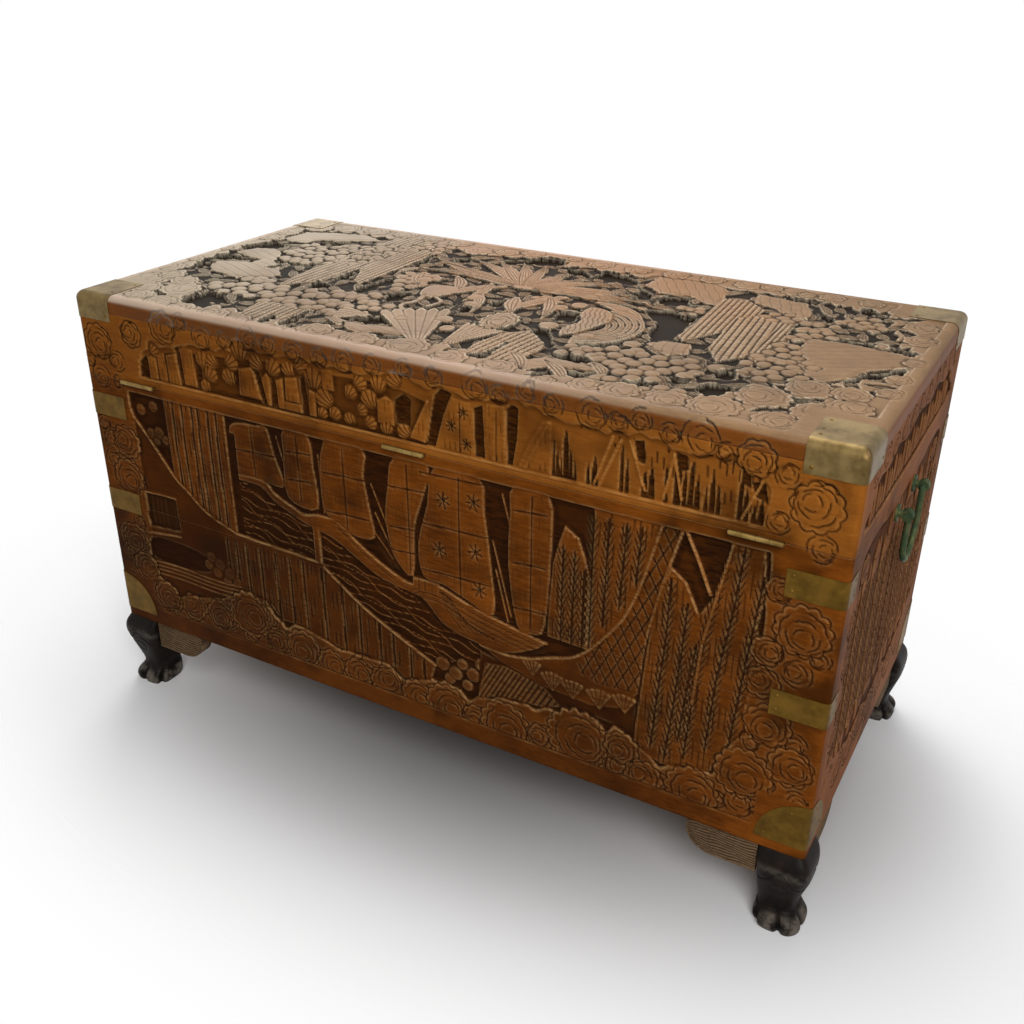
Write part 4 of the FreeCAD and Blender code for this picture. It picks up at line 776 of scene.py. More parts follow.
    for u, v, size in ((562, 388, 10), (580, 396, 10), (605, 390, 10), (616, 372, 9), (597, 408, 8),
                       (590, 380, 8), (572, 406, 8)):
        face.ball((u, v), size, -0.4, 2.4, 0.35)
    # pines: tall plain blades parted by seams
    grove = [(814, 405), (818, 345), (822, 285), (830, 209), (842, 176), (860, 189), (875, 221), (884, 205),
             (890, 193), (898, 150), (903, 128), (938, 128), (942, 180), (938, 215), (944, 250), (938, 290),
             (934, 320), (940, 345), (922, 366), (912, 390), (906, 410), (880, 414), (848, 424)]
    for pine in ([(703, 302), (704, 262), (708, 205), (714, 180), (721, 157), (738, 168), (747, 191),
                  (753, 215), (753, 304)],
                 [(754, 128), (829, 128), (811, 200), (796, 243), (784, 264), (769, 285), (755, 303)],
                 grove):
        face.area(pine, -1.3, 0.9, 0.05, 0.4)
        face.dashes(pine, 6.5, 70, 0.5, 0.7)
    for seam in SEAMS:
        face.ear(seam)
    face.area([(856, 128), (887, 193), (900, 128)], -4.0, 0.8, 0.88)
    for line, width in (([(856, 128), (872, 160), (886, 192)], 4.0),
                        ([(905, 128), (892, 200), (883, 252), (878, 330)], 3.0),
                        ([(843, 174), (828, 215), (818, 285)], 3.0),
                        ([(843, 174), (860, 187), (876, 220)], 3.0)):
        face.ridge(line, -0.5, width, -0.4)
    # net drawn up on its ropes, grass and shells along the shore
    face.area([(615, 352), (700, 366), (815, 345), (815, 402), (790, 392), (740, 390), (690, 404),
               (640, 408), (612, 420)], -2.6, 0.9, 0.6)
    rope = [(615, 343), (650, 345), (680, 340), (710, 329), (735, 320), (755, 303), (770, 285), (785, 264),
            (797, 243), (812, 200), (830, 128)]
    net = np.vstack([curve(rope), [(852, 128), (836, 190), (822, 260), (816, 340), (800, 366), (760, 376),
                                   (700, 372), (640, 356)]])
    face.area(net, -2.0, 0.9, 0.16)
    mesh = [(755, 303), (785, 264), (812, 200), (830, 128), (852, 128), (836, 190), (822, 260), (816, 340),
            (770, 345), (736, 335)]
    face.hatch(mesh, 12.0, 62, 1.1, 2.2, 0, 40, 0.9)
    face.hatch(mesh, 13.0, -64, 1.1, 2.2, 0, 40, 0.9)
    face.ridge(curve(rope), -0.6, 3.0, -0.6)
    face.ridge([(852, 128), (836, 190), (822, 260)], -0.8, 3.0, -0.2)
    for u, v, size in ((686, 362, 22), (712, 374, 26), (738, 376, 26), (771, 378, 28), (802, 372, 26)):
        face.fan((u, v), size, 95, 76, 5, -0.6)
    grass = [(622, 366), (650, 362), (700, 372), (722, 392), (700, 402), (660, 404), (630, 412), (612, 420)]
    face.area(grass, -1.7, 0.9, 0.15)
    face.hatch(grass, 6.0, -62, 1.4, 3.0, 4.0, 80, 0.95)
    # cloud frame and the plain bands
    for u, v, size, turn in LID_CLOUDS + SCENE_CLOUDS:
        face.rosette((u, v), 1.2 * size, turn)
    for u, v, size, turn in EDGE_CLOUDS:
        face.rosette((u, v), size, turn, 0.0)
    at, _, y = face.window([(0, 456), (1040, 600)], 0)
    face.lay(at, smooth(y, 456, 458), 0.0, 0.15)
    face.cut([(84, 457), (956, 457)], 0.8, 2.0, 0.6)
    at, x, y = face.window([(80, 108), (960, 126)], 0)
    band = smooth(y, 107.5, 109) * smooth(126.5 - y, 0, 1)
    face.lay(at, band * smooth(x, 84, 100) * smooth(955 - x, 0, 12), 0.0, 0.0)
    for u in (20, 960):
        for top, foot in ((0, 37.6), (138, 169.5), (278, 309.5), (412, 471)):
            face.plain((u, top), (u + 60, foot))


for level in ("upper", "lower"):
    wall("back_plank_" + level, "carcase", (0, 1), HALF_DEPTH, HALF_LENGTH, WALL_THICKNESS, CORNER_ROUND,
         1.42, harbour, carved_back)


# Front wall of the carcase
# Two planks like those at the back, with the same harbour carved the other way round and a plain disc
# left under the keyhole plate.

def turned_harbour(face):
    """The harbour seen in a mirror, with a disc and the keyhole, a round with a slot, in its middle."""
    other = Relief(2 * WALL_MIDDLE - face.u[::-1], face.v)
    harbour(other)
    face.height, face.stain_and_shade = other.height[:, ::-1].copy(), other.stain_and_shade[:, ::-1].copy()
    drop = 140.8  # of the keyhole from the chest's top
    at, x, y = face.window([(WALL_MIDDLE, drop)], 30)
    aside = np.abs(x - WALL_MIDDLE)
    far = np.hypot(aside, y - drop)
    face.lay(at, smooth(26 - far, 0, 3), 0.0, 0.1)
    hole = np.maximum(3 - far, np.minimum(1.6 - aside, 4 - np.abs(y - 145)))
    face.lay(at, smooth(hole, -0.8, 0.4), -8.0, 1.0)


for level in ("upper", "lower"):
    wall("front_plank_" + level, "carcase", (0, -1), HALF_DEPTH, HALF_LENGTH, WALL_THICKNESS, CORNER_ROUND,
         1.7, turned_harbour, carved_back)


# Ends of the carcase
# One board across each end, carved with close-set bundles of bamboo among clouds. The wood is a redder,
# duller brown than the long walls, with a plain strip under the lid where the handle is fixed.

end_colours = [paint(148, 90, 50), paint(108, 62, 31), paint(72, 38, 16), paint(42, 21, 7),
               paint(184, 144, 102)]
carved_end = carved_wood("carved_end", end_colours, (6.0, 6.0, 1.0), 0.5, 0.04)
BUNDLE = 42  # from one gap between the stalks to the next
GAPS = [WALL_MIDDLE + BUNDLE * number for number in range(-4, 5)]
STEMS = [WALL_MIDDLE + BUNDLE * (number + 0.5) + aside
         for number in range(-5, 5) for aside in (-12.5, 0, 12.5)]


def bamboo(face):
    """Bundles of upright stalks of uneven height with needles, deep gaps between the bundles, and clouds
    below and at the sides."""
    face.area(curve([(332, 138), (400, 134), (440, 140), (600, 140), (640, 134), (706, 138), (712, 180),
                     (702, 230), (714, 280), (704, 330), (712, 370), (690, 400), (650, 412), (610, 424),
                     (560, 414), (520, 426), (470, 414), (430, 424), (390, 410), (350, 398), (328, 370),
                     (338, 320), (326, 280), (338, 230), (328, 180)], True, 4), -2.0, 1.0, 0.6)
    for number, u in enumerate(STEMS):
        wide = 5.4 + 0.6 * math.sin(number * 2.3)
        high = 146 + 26 * (0.5 + 0.5 * math.sin(number * 1.7)) + (18 if number % 4 == 0 else 0)
        low = 400 + 10 * math.sin(number * 2.9)
        if 336 < u < 704:
            face.area([(u - wide, low), (u - wide * 0.8, high + 16), (u, high), (u + wide * 0.9, high + 12),
                       (u + wide, low)], -0.3 - 0.4 * (number % 3), 0.8, 0.1, 0.3)
            for v in range(int(high) + 24, int(low), 31):
                face.cut([(u - wide, v), (u + wide, v + 1)], 0.8, 2.0, 0.7)
    for u in STEMS:
        face.ear([(u, 190), (u, 388)], 5.5, 12.0)
    for number, u in enumerate(GAPS):
        top = 180 if number in (3, 5) else 162
        face.area([(u - 3, top), (u + 3, top), (u + 3, 392), (u - 3, 392)], -3.6, 0.8, 0.95)
    for spot, size, turn in (((350, 160), 17, 20), ((690, 160), 17, 90), ((318, 210), 15, 50),
                             ((722, 210), 15, 120), ((322, 256), 17, 10), ((720, 262), 17, 70),
                             ((320, 300), 16, 200), ((722, 310), 16, 20), ((322, 350), 18, 40),
                             ((718, 356), 18, 110), ((330, 420), 23, 0), ((380, 432), 24, 60),
                             ((430, 440), 22, 100), ((480, 434), 24, 30), ((530, 442), 23, 80),
                             ((580, 434), 24, 10), ((630, 438), 23, 150), ((680, 430), 24, 50),
                             ((722, 425), 19, 90)):
        face.rosette(spot, size, turn, 0.0, 0.08)
    at, _, y = face.window([(200, 100), (840, 130)], 0)
    face.lay(at, smooth(131 - y, 0, 4), 0.0, 0.0)
    for low, high in (((462, 128), (492, 168)), ((548, 128), (578, 168)), ((270, 138), (325, 169.5)),
                      ((715, 138), (770, 169.5)), ((270, 278), (325, 309.5)), ((715, 278), (770, 309.5)),
                      ((270, 412), (353, 600)), ((687, 412), (770, 600))):
        face.plain(low, high, 2.0)
    at, _, y = face.window([(200, 470), (840, 600)], 0)
    face.lay(at, smooth(y, 464, 467), 0.0, 0.0)
    for u, v, length in ((470, 330, 30), (585, 352, 46), (420, 372, 24), (640, 300, 18)):
        face.cut([(u, v), (u + length, v + 0.35 * length)], 0.5, 2.2, -0.9)


for side, sign in (("left", -1), ("right", 1)):
    wall("end_board_" + side, "carcase", (sign, 0), HALF_LENGTH, 225, WALL_THICKNESS, 0.3, 1.6, bamboo,
         carved_end)


# Rails of the lid
# Four dovetailed rails carry the carving of the walls up to the lid: reeds, sails and blossom on the
# long ones, short bamboo on the ends.

def bamboo_rail(face):
    """A low row of stalks between a cloud border and a plain lower strip."""
    face.area(curve([(330, 102), (328, 74), (345, 58), (380, 62), (420, 52), (460, 60), (520, 52), (580, 60),
                     (620, 52), (660, 62), (696, 58), (712, 74), (710, 102)], True, 4), -3.4, 1.0, 0.7)
    for number, u in enumerate(STEMS):
        high = 62 + 14 * (0.5 + 0.5 * math.sin(number * 2.1))
        if 330 < u < 710:
            face.area([(u - 4.4, 101), (u - 3, high + 8), (u, high), (u + 3.4, high + 10), (u + 4.4, 101)],
                      -1.2, 0.8, 0.1)
            face.cut([(u, high + 8), (u, 100)], 0.8, 1.8, 0.7)
    for number in range(11):
        face.rosette((320 + 40 * number, 44 - 4 * (number % 2)), 18, 47 * number)
    for low, high in (((270, 0), (357, 37.6)), ((683, 0), (770, 37.6))):
        face.plain(low, high, 2.0)


rail_colours = [paint(158, 94, 32), paint(114, 63, 18), paint(62, 30, 6), paint(40, 19, 5),
                paint(200, 152, 90)]
carved_rail = carved_wood("carved_rail", rail_colours, (1.0, 6.0, 6.0), 0.45, 0.03)
RAIL_THICKNESS = 17.9
for side, sign, step, draw in (("back", 1, 1.42, harbour), ("front", -1, 1.7, turned_harbour)):
    wall("lid_rail_" + side, "lid", (0, sign), HALF_DEPTH, HALF_LENGTH, RAIL_THICKNESS, CORNER_ROUND, step,
         draw, carved_rail)
for side, sign in (("left", -1), ("right", 1)):
    wall("lid_rail_" + side, "lid", (sign, 0), HALF_LENGTH, 227, RAIL_THICKNESS, 0.3, 1.6, bamboo_rail,
         carved_end)


# Top of the lid
# Three planks with a rounded rim, cut deep with two long-feathered birds about a spray of leaves and a
# peony. The varnish has worn to a greyer tan, palest with painted sheen along the rim and with fading and
# painted sheen at the right end; the sides of the planks stay brown, and the deep ground is almost black,
# with painted shade on the carving's steep walls.

edge_colours = [paint(124, 68, 20), paint(90, 48, 13), paint(54, 27, 6), paint(36, 17, 5),
                paint(180, 134, 76)]
top_colours = [paint(145, 112, 79), paint(107, 81, 54), paint(66, 47, 30), paint(13, 7, 3),
               paint(218, 200, 172)]
# the faded colour also stands for painted sheen; the rim colour is painted sheen
faded_and_sheen, amber, rim_sheen = paint(170, 160, 140), paint(136, 88, 40), paint(212, 184, 164)
carved_top = carved_wood("carved_top", top_colours, (1.0, 6.0, 6.0), 0.42, 0.09, 0.58, False,
                         (edge_colours, faded_and_sheen, amber, rim_sheen))
LID_MIDDLE = (510, 255.4)  # u and v of the picture's middle
LID_TOP, LID_THICKNESS = 591.4, 22
LID_ROUND = 10


def leaf(face, base, tip, width, bend, stripes, level, stain_and_shade=0.05):
    """A long pointed leaf: a line bowed sideways by bend, as wide as a half sine, with cuts along it."""
    base, tip = np.array(base, float), np.array(tip, float)
    t = np.linspace(0, 1, 13)[:, None]
    way = (tip - base) / np.linalg.norm(tip - base)
    aside = np.array([-way[1], way[0]])
    spine = base + (tip - base) * t + aside * bend * 4 * t * (1 - t)
    half = width / 2 * np.sin(math.pi * np.clip(t, 0.06, 1) ** 0.75)
    face.area(np.vstack([spine + aside * half, (spine - aside * half)[::-1]]), level, 0.9, stain_and_shade, 0.7)
    for number in range(-stripes + 1, stripes):
        face.cut((spine + aside * half * number / stripes)[1:-1], 1.1 if number == 0 else 0.8, 2.2, 0.6)


# the picture's outlines in mm, u across and v down; sheets and trunks add the spacing and angle of their
# cuts, heaps of leaves the size of a leaf, and a cloud is a place with a radius
HOLLOWS = (
    [(30, 213), (50, 160), (72, 158), (88, 186), (60, 202), (45, 222)],
    [(103, 142), (108, 122), (135, 116), (160, 102), (160, 114), (140, 132), (118, 144)],
    [(128, 242), (150, 236), (190, 226), (192, 236), (170, 252), (132, 254)],
    [(30, 262), (50, 250), (98, 254), (100, 266), (60, 272), (52, 284), (36, 274)],
    [(38, 312), (48, 290), (62, 306), (68, 314), (58, 332)],
    [(142, 362), (146, 342), (160, 328), (185, 316), (178, 346), (158, 362)],
    [(138, 288), (143, 266), (151, 262), (153, 286)],
    [(240, 300), (268, 298), (270, 320), (256, 335), (243, 332)],
    [(250, 238), (263, 246), (267, 272), (251, 278)],
    [(302, 300), (308, 240), (320, 222), (332, 250), (326, 300), (312, 328)],
    [(298, 112), (312, 146), (313, 172), (302, 180)],
    [(148, 404), (175, 408), (215, 436), (185, 446), (203, 452), (201, 472), (160, 466), (146, 452)],
    [(95, 444), (104, 438), (124, 454), (116, 462)],
    [(286, 470), (289, 450), (297, 454), (305, 476), (297, 485)],
    [(316, 414), (323, 430), (331, 470), (324, 480), (315, 470)],
    [(382, 88), (400, 72), (430, 54), (450, 36), (474, 38), (484, 62), (456, 82), (440, 76), (418, 100),
     (400, 86)],
    [(490, 70), (520, 72), (540, 90), (547, 62), (580, 66), (605, 82), (611, 102), (560, 104), (520, 101),
     (500, 91)],
    [(336, 98), (350, 90), (362, 112), (354, 125), (332, 113)],
    [(614, 106), (642, 126), (653, 150), (632, 162), (611, 153), (613, 138), (628, 134)],
    [(655, 144), (668, 128), (690, 120), (703, 148), (720, 141), (716, 159), (700, 157), (670, 167)],
    [(662, 193), (690, 183), (716, 197), (729, 191), (738, 290), (716, 306), (704, 284), (694, 236),
     (672, 214)],
    [(484, 262), (500, 238), (503, 275), (488, 287)],
    [(574, 256), (601, 249), (608, 285), (584, 293)],
    [(352, 300), (372, 280), (386, 290), (380, 320), (366, 329)],
    [(404, 348), (412, 330), (440, 316), (449, 290), (457, 330), (440, 350)],
    [(460, 314), (472, 280), (486, 300), (479, 324)],
    [(507, 340), (516, 318), (531, 304), (522, 348), (530, 376), (510, 366)],
    [(370, 413), (384, 390), (402, 386), (437, 391), (438, 402), (402, 419)],
    [(328, 480), (340, 452), (358, 432), (385, 422), (376, 441), (350, 462), (342, 478)],
    [(416, 455), (450, 440), (491, 433), (470, 453), (450, 463)],
    [(558, 460), (577, 440), (584, 396), (588, 460)],
    [(575, 330), (600, 328), (624, 366), (634, 374), (625, 387), (600, 360)],
    [(638, 354), (660, 346), (690, 326), (692, 350), (664, 372)],
    [(633, 399), (660, 391), (690, 393), (691, 413), (660, 414)],
    [(649, 479), (656, 458), (680, 440), (713, 431), (700, 453), (672, 465), (660, 481)],
    [(774, 398), (802, 396), (803, 419), (785, 416)],
    [(736, 430), (760, 418), (773, 440), (750, 454)],
    [(813, 360), (836, 350), (840, 376), (820, 384)],
    [(818, 400), (863, 394), (852, 414), (842, 440), (824, 436), (814, 418)],
    [(851, 101), (870, 111), (883, 126), (870, 131), (857, 121)],
    [(890, 57), (905, 59), (918, 74), (930, 71), (927, 94), (910, 81), (898, 84)],
    [(804, 55), (847, 57), (838, 72), (826, 66), (812, 68)],
    [(884, 197), (905, 187), (960, 185), (976, 198), (993, 205), (986, 219), (960, 205), (905, 202)],
    [(924, 349), (949, 311), (955, 289), (991, 257), (989, 291), (961, 311)],
    [(898, 403), (937, 397), (930, 413), (908, 410)],
)
PANEL = [(46, 80), (110, 60), (196, 56), (300, 60), (352, 76), (400, 62), (456, 34), (486, 62), (560, 60),
         (640, 66), (720, 60), (800, 54), (880, 60), (934, 80), (952, 130), (968, 190), (982, 230),
         (978, 300), (946, 340), (900, 350), (888, 388), (850, 392), (826, 440), (740, 452), (660, 470),
         (560, 452), (500, 440), (420, 456), (330, 466), (220, 462), (150, 462), (140, 400), (96, 380),
         (52, 352), (36, 300), (32, 220), (48, 150)]
SHEETS = (
    ([(56, 206), (80, 196), (102, 206), (116, 224), (128, 252), (146, 262), (156, 276), (184, 304),
      (178, 316), (156, 328), (140, 346), (112, 338), (84, 332), (66, 316), (56, 290), (78, 280),
      (102, 272), (102, 254), (70, 248), (44, 240)], 11.0, 24),
    ([(866, 206), (920, 204), (984, 212), (988, 252), (954, 288), (946, 312), (920, 346), (898, 330),
      (872, 290)], 10.0, 150),
    ([(760, 62), (800, 70), (830, 74), (846, 110), (848, 140), (820, 140), (800, 116), (770, 106)], 9.0, 70),
    ([(620, 50), (700, 46), (728, 70), (736, 140), (720, 140), (690, 118), (650, 124), (620, 100)], 9.0, 60),
    ([(56, 92), (96, 74), (150, 62), (190, 80), (158, 100), (130, 114), (104, 122), (98, 146), (70, 152),
      (52, 140)], 9.0, -28),
    ([(336, 412), (396, 424), (440, 412), (470, 420), (490, 432), (440, 438), (414, 452), (392, 446),
      (380, 430)], 7.0, 12),
    ([(640, 414), (690, 416), (712, 428), (684, 434), (654, 448), (640, 470), (622, 440)], 7.0, -20),
    ([(730, 300), (764, 296), (772, 330), (752, 348), (730, 330), (716, 318)], 9.0, 80),
)
TRUNKS = (
    ([(200, 50), (250, 46), (254, 200), (246, 300), (222, 332), (211, 344), (202, 300), (196, 180)], 8.0, 92),
    ([(252, 54), (298, 58), (300, 230), (297, 286), (280, 274), (264, 240), (254, 226)], 7.0, 90),
    ([(240, 408), (322, 408), (312, 440), (318, 470), (306, 462), (292, 448), (284, 476), (262, 480),
      (246, 450)], 8.0, 88),
    ([(732, 108), (762, 100), (792, 130), (796, 200), (774, 244), (748, 292), (738, 276)], 7.0, 86),
    ([(772, 180), (800, 150), (832, 170), (838, 240), (826, 310), (806, 340), (782, 300)], 8.0, 84),
    ([(560, 372), (582, 348), (618, 368), (626, 400), (618, 456), (560, 458), (552, 420)], 8.0, 96),
    ([(826, 170), (842, 168), (848, 240), (842, 330), (828, 300)], 6.0, 88),
)
LEAVES = (
    ([(90, 164), (112, 148), (150, 136), (162, 112), (197, 108), (200, 228), (176, 236), (150, 238),
      (124, 236), (108, 212)], 15),
    ([(196, 92), (250, 96), (254, 200), (236, 214), (204, 206)], 16),
    ([(150, 330), (190, 318), (216, 338), (256, 346), (300, 322), (334, 332), (348, 376), (386, 384),
      (364, 412), (320, 414), (254, 412), (214, 408), (160, 402), (120, 396), (124, 368), (166, 358)], 18),
    ([(320, 206), (346, 196), (378, 212), (388, 246), (362, 292), (344, 280), (326, 250)], 16),
    ([(326, 300), (352, 312), (372, 334), (400, 350), (390, 384), (352, 376), (334, 340)], 15),
    ([(688, 356), (716, 342), (760, 352), (806, 344), (822, 362), (806, 396), (776, 400), (772, 430),
      (730, 432), (716, 446), (700, 420), (690, 392)], 17),
    ([(790, 116), (832, 130), (856, 154), (842, 172), (800, 170)], 15),
    ([(842, 150), (886, 150), (904, 196), (872, 206), (866, 250), (846, 244)], 14),
    ([(838, 240), (876, 250), (904, 300), (906, 346), (860, 372), (828, 352), (832, 300)], 15),
    ([(880, 110), (920, 100), (940, 140), (930, 152), (900, 152), (884, 134)], 14),
    ([(700, 170), (734, 160), (738, 186), (716, 194), (700, 184)], 12),
    ([(500, 208), (560, 206), (574, 250), (548, 256), (520, 240)], 13),
    ([(640, 372), (690, 356), (692, 390), (640, 394)], 13),
    ([(246, 60), (300, 62), (298, 110), (250, 96)], 15),
    ([(716, 440), (736, 436), (752, 456), (800, 424), (818, 440), (810, 452), (730, 462)], 15),
)
TOP_CLOUDS = ((370, 470, 23), (433, 472, 24), (493, 464, 27), (553, 472, 22), (613, 474, 23),
              (673, 484, 14), (716, 476, 18), (753, 470, 23), (803, 468, 23), (850, 464, 29),
              (884, 416, 30), (918, 372, 27), (942, 432, 28), (966, 405, 25), (912, 470, 24),
              (958, 366, 22), (990, 345, 16), (988, 300, 15), (993, 240, 14), (982, 160, 20),
              (974, 110, 22), (945, 60, 22), (900, 40, 17), (850, 38, 18), (800, 36, 18), (740, 36, 20),
              (690, 34, 18), (640, 36, 20), (585, 40, 20), (530, 40, 20), (484, 34, 12), (420, 34, 18),
              (385, 48, 18), (345, 62, 22), (300, 36, 20), (250, 34, 18), (200, 34, 20), (150, 40, 21),
              (100, 46, 22), (60, 66, 22), (36, 110, 20), (34, 150, 17), (22, 235, 12), (24, 300, 14),
              (30, 350, 20), (44, 408, 27), (72, 440, 24), (118, 424, 28), (136, 478, 22), (92, 470, 20),
              (176, 484, 19), (226, 484, 22), (60, 380, 18), (94, 392, 20), (268, 486, 18), (330, 490, 12),
              (950, 200, 10), (770, 34, 16), (818, 42, 12))


def birds(face):
    """The deep picture of the lid's top: a sunk panel strewn with small leaves, on it striped sheets and
    trunks, hollows and heaps of round leaves, then the spray, birds and fans, and clouds all round."""
    at, x, y = face.window([(26, 26), (994, 484)], 0)
    rim = np.minimum.reduce([x - 20, 1000 - x, y - 22, 488 - y])
    face.lay(at, smooth(rim, 0, 5), -0.9 - 0.4 * np.sin(x / 17.0) * np.cos(y / 13.0), 0.15)
    face.area(lobed(PANEL, 27, -9), -4.6, 1.2, 0.75)
    for number in range(560):
        u, v = 44 + 932 * (number * 0.618034 % 1), 62 + number * 0.7
        way = 2.6 * math.sin(u / 75) + 2.1 * math.cos(v / 48) + 0.9 * math.sin(number * 5.3)
        reach = 17 + 5 * math.sin(number * 3.1)
        du, dv = reach * math.cos(way), reach * math.sin(way)
        leaf(face, (u - du, v - dv), (u + du, v + dv), 14, 4 * math.sin(number * 1.9), 2,
             -2.8 + 0.6 * math.sin(number * 7.7), 0.42)
    for outline, spacing, angle in SHEETS:
        face.area(lobed(outline, 15, -2.0), -1.9, 1.2, 0.12, 0.8)
        face.hatch(outline, spacing + 3, angle, 0.4, 2.2, 0.8, 55, 0.4)
    for outline, spacing, angle in TRUNKS:
        face.area(outline, -0.9, 1.2, 0.1, 0.6)
        face.hatch(outline, spacing, angle, 1.7, 3.6, 0, 70, 0.75)
        face.hatch(outline, 6.0, angle + 90, 0.7, 2.6, 0.6, 30, 0.3)
    for outline in HOLLOWS:
        face.area(lobed(outline, 12, -2.6), -9.0, 1.0, 1.0)
    for outline, size in LEAVES:
        face.cobbles(outline, size + 3, -0.5)
    # the spray of leaves above the middle
    hub = (490, 198)
    for tip, width, bend in (((304, 114), 22, -8), ((326, 138), 16, 6), ((362, 100), 22, 8),
                             ((396, 90), 22, 4), ((432, 84), 22, 4), ((466, 82), 20, 2),
                             ((516, 104), 24, 0), ((546, 118), 18, -3), ((586, 116), 24, -5),
                             ((636, 154), 26, -8), ((664, 178), 22, -10), ((668, 204), 20, -14),
                             ((318, 176), 18, 12)):
        leaf(face, hub, tip, width, bend, 3, -0.6)
    for base, tip, width, bend in (((470, 200), (410, 296), 22, 12), ((446, 196), (452, 282), 16, -6),
                                   ((600, 204), (690, 262), 22, -12), ((560, 204), (520, 300), 20, 8),
                                   ((388, 190), (424, 262), 18, -8), ((340, 196), (372, 256), 20, 6),
                                   ((690, 470), (640, 424), 18, 4), ((720, 440), (690, 408), 16, 4),
                                   ((600, 420), (640, 472), 18, -5), ((320, 180), (310, 220), 14, 5),
                                   ((452, 240), (486, 322), 15, -6), ((506, 236), (534, 300), 22, 4),
                                   ((540, 214), (572, 300), 18, -6), ((382, 440), (344, 420), 14, 4)):
        leaf(face, base, tip, width, bend, 2, -1.0)
    # the long-feathered birds: bowed tail feathers, the crescent wing, a round breast and legs
    for number in range(6):
        reach = 70 - 8 * number
        sweep = np.radians(np.linspace(-80, 75, 9))
        line = np.stack([624 + reach * np.cos(sweep), 292 + 1.02 * reach * np.sin(sweep)], -1)
        face.ridge(curve(line), -0.9 - 0.25 * number, 7.0, 0.1)
        face.cut(curve(line), 0.5, 1.6, 0.6)
    crescent = [(606, 230), (634, 236), (648, 268), (640, 310), (622, 346), (612, 320), (618, 286),
                (606, 262)]
    face.area(curve(crescent, True, 4), -0.2, 1.2, 0.05, 0.2)
    face.hatch(crescent, 6.0, 70, 0.9, 2.2, 1.0, 40, 0.6)
    breast = [(384, 250), (400, 238), (420, 240), (428, 262), (416, 286), (398, 292), (386, 276)]
    face.area(curve(breast, True, 4), -0.6, 1.2, 0.05, 0.6)
    face.ridge(curve([(400, 288), (404, 312), (398, 336), (410, 352)]), -1.2, 7.0, 0.1)
    face.ridge(curve([(416, 286), (432, 300), (428, 326)]), -1.4, 6.0, 0.15)
    # fans, the peony and small round shapes
    face.fan((506, 466), 150, 124, 36, 6, -0.5, 0.05, 0.05)
    face.fan((520, 452), 96, 82, 34, 7, -0.7, 0.08, 0.05)
    face.fan((392, 388), 48, 196, 60, 5, -1.0)
    face.rosette((536, 334), 33, 60, 0.4, 0.1, 0.72)
    for spot, size in (((460, 262), 11), ((470, 288), 10), ((588, 226), 11), ((572, 246), 10),
                       ((592, 316), 13), ((648, 330), 10), ((704, 330), 11), ((360, 226), 12),
                       ((474, 358), 12), ((496, 386), 10), ((430, 384), 9)):
        face.ball(spot, size, -0.3, 2.4)
    for number, (u, v, size) in enumerate(TOP_CLOUDS):
        face.rosette((u, v), size, 53 * number, 0.0, 0.05, 1.0, 0.6)
    # painted shade on the steep walls of the carving
    slope = np.hypot(*np.gradient(face.height, face.v, face.u))
    face.stain_and_shade = np.maximum(face.stain_and_shade, 0.95 * smooth(slope, 0.45, 1.3))
    at, x, y = face.window([(-20, -20), (1060, 540)], 0)
    rim = np.minimum.reduce([x - 10, 1010 - x, y - 10, 500 - y])
    face.lay(at, smooth(8 - rim, 0, 4), 0.0, 0.05)
    for u in (10, 952):
        for v in (10, 438):
            face.plain((u - 20, v - 20), (u + 58, v + 62))


def fold(along, half):
    """Place, drop and tilt of a coordinate that runs over a flat, round an edge and down a side."""
    flat, bend = half - LID_ROUND, LID_ROUND * math.pi / 2
    turn = np.clip((np.abs(along) - flat) / LID_ROUND, 0, math.pi / 2)
    down = np.maximum(np.abs(along) - flat - bend, 0)
    place = np.sign(along) * (np.minimum(np.abs(along), flat) + LID_ROUND * np.sin(turn))
    return place, LID_ROUND * (1 - np.cos(turn)) + down, turn


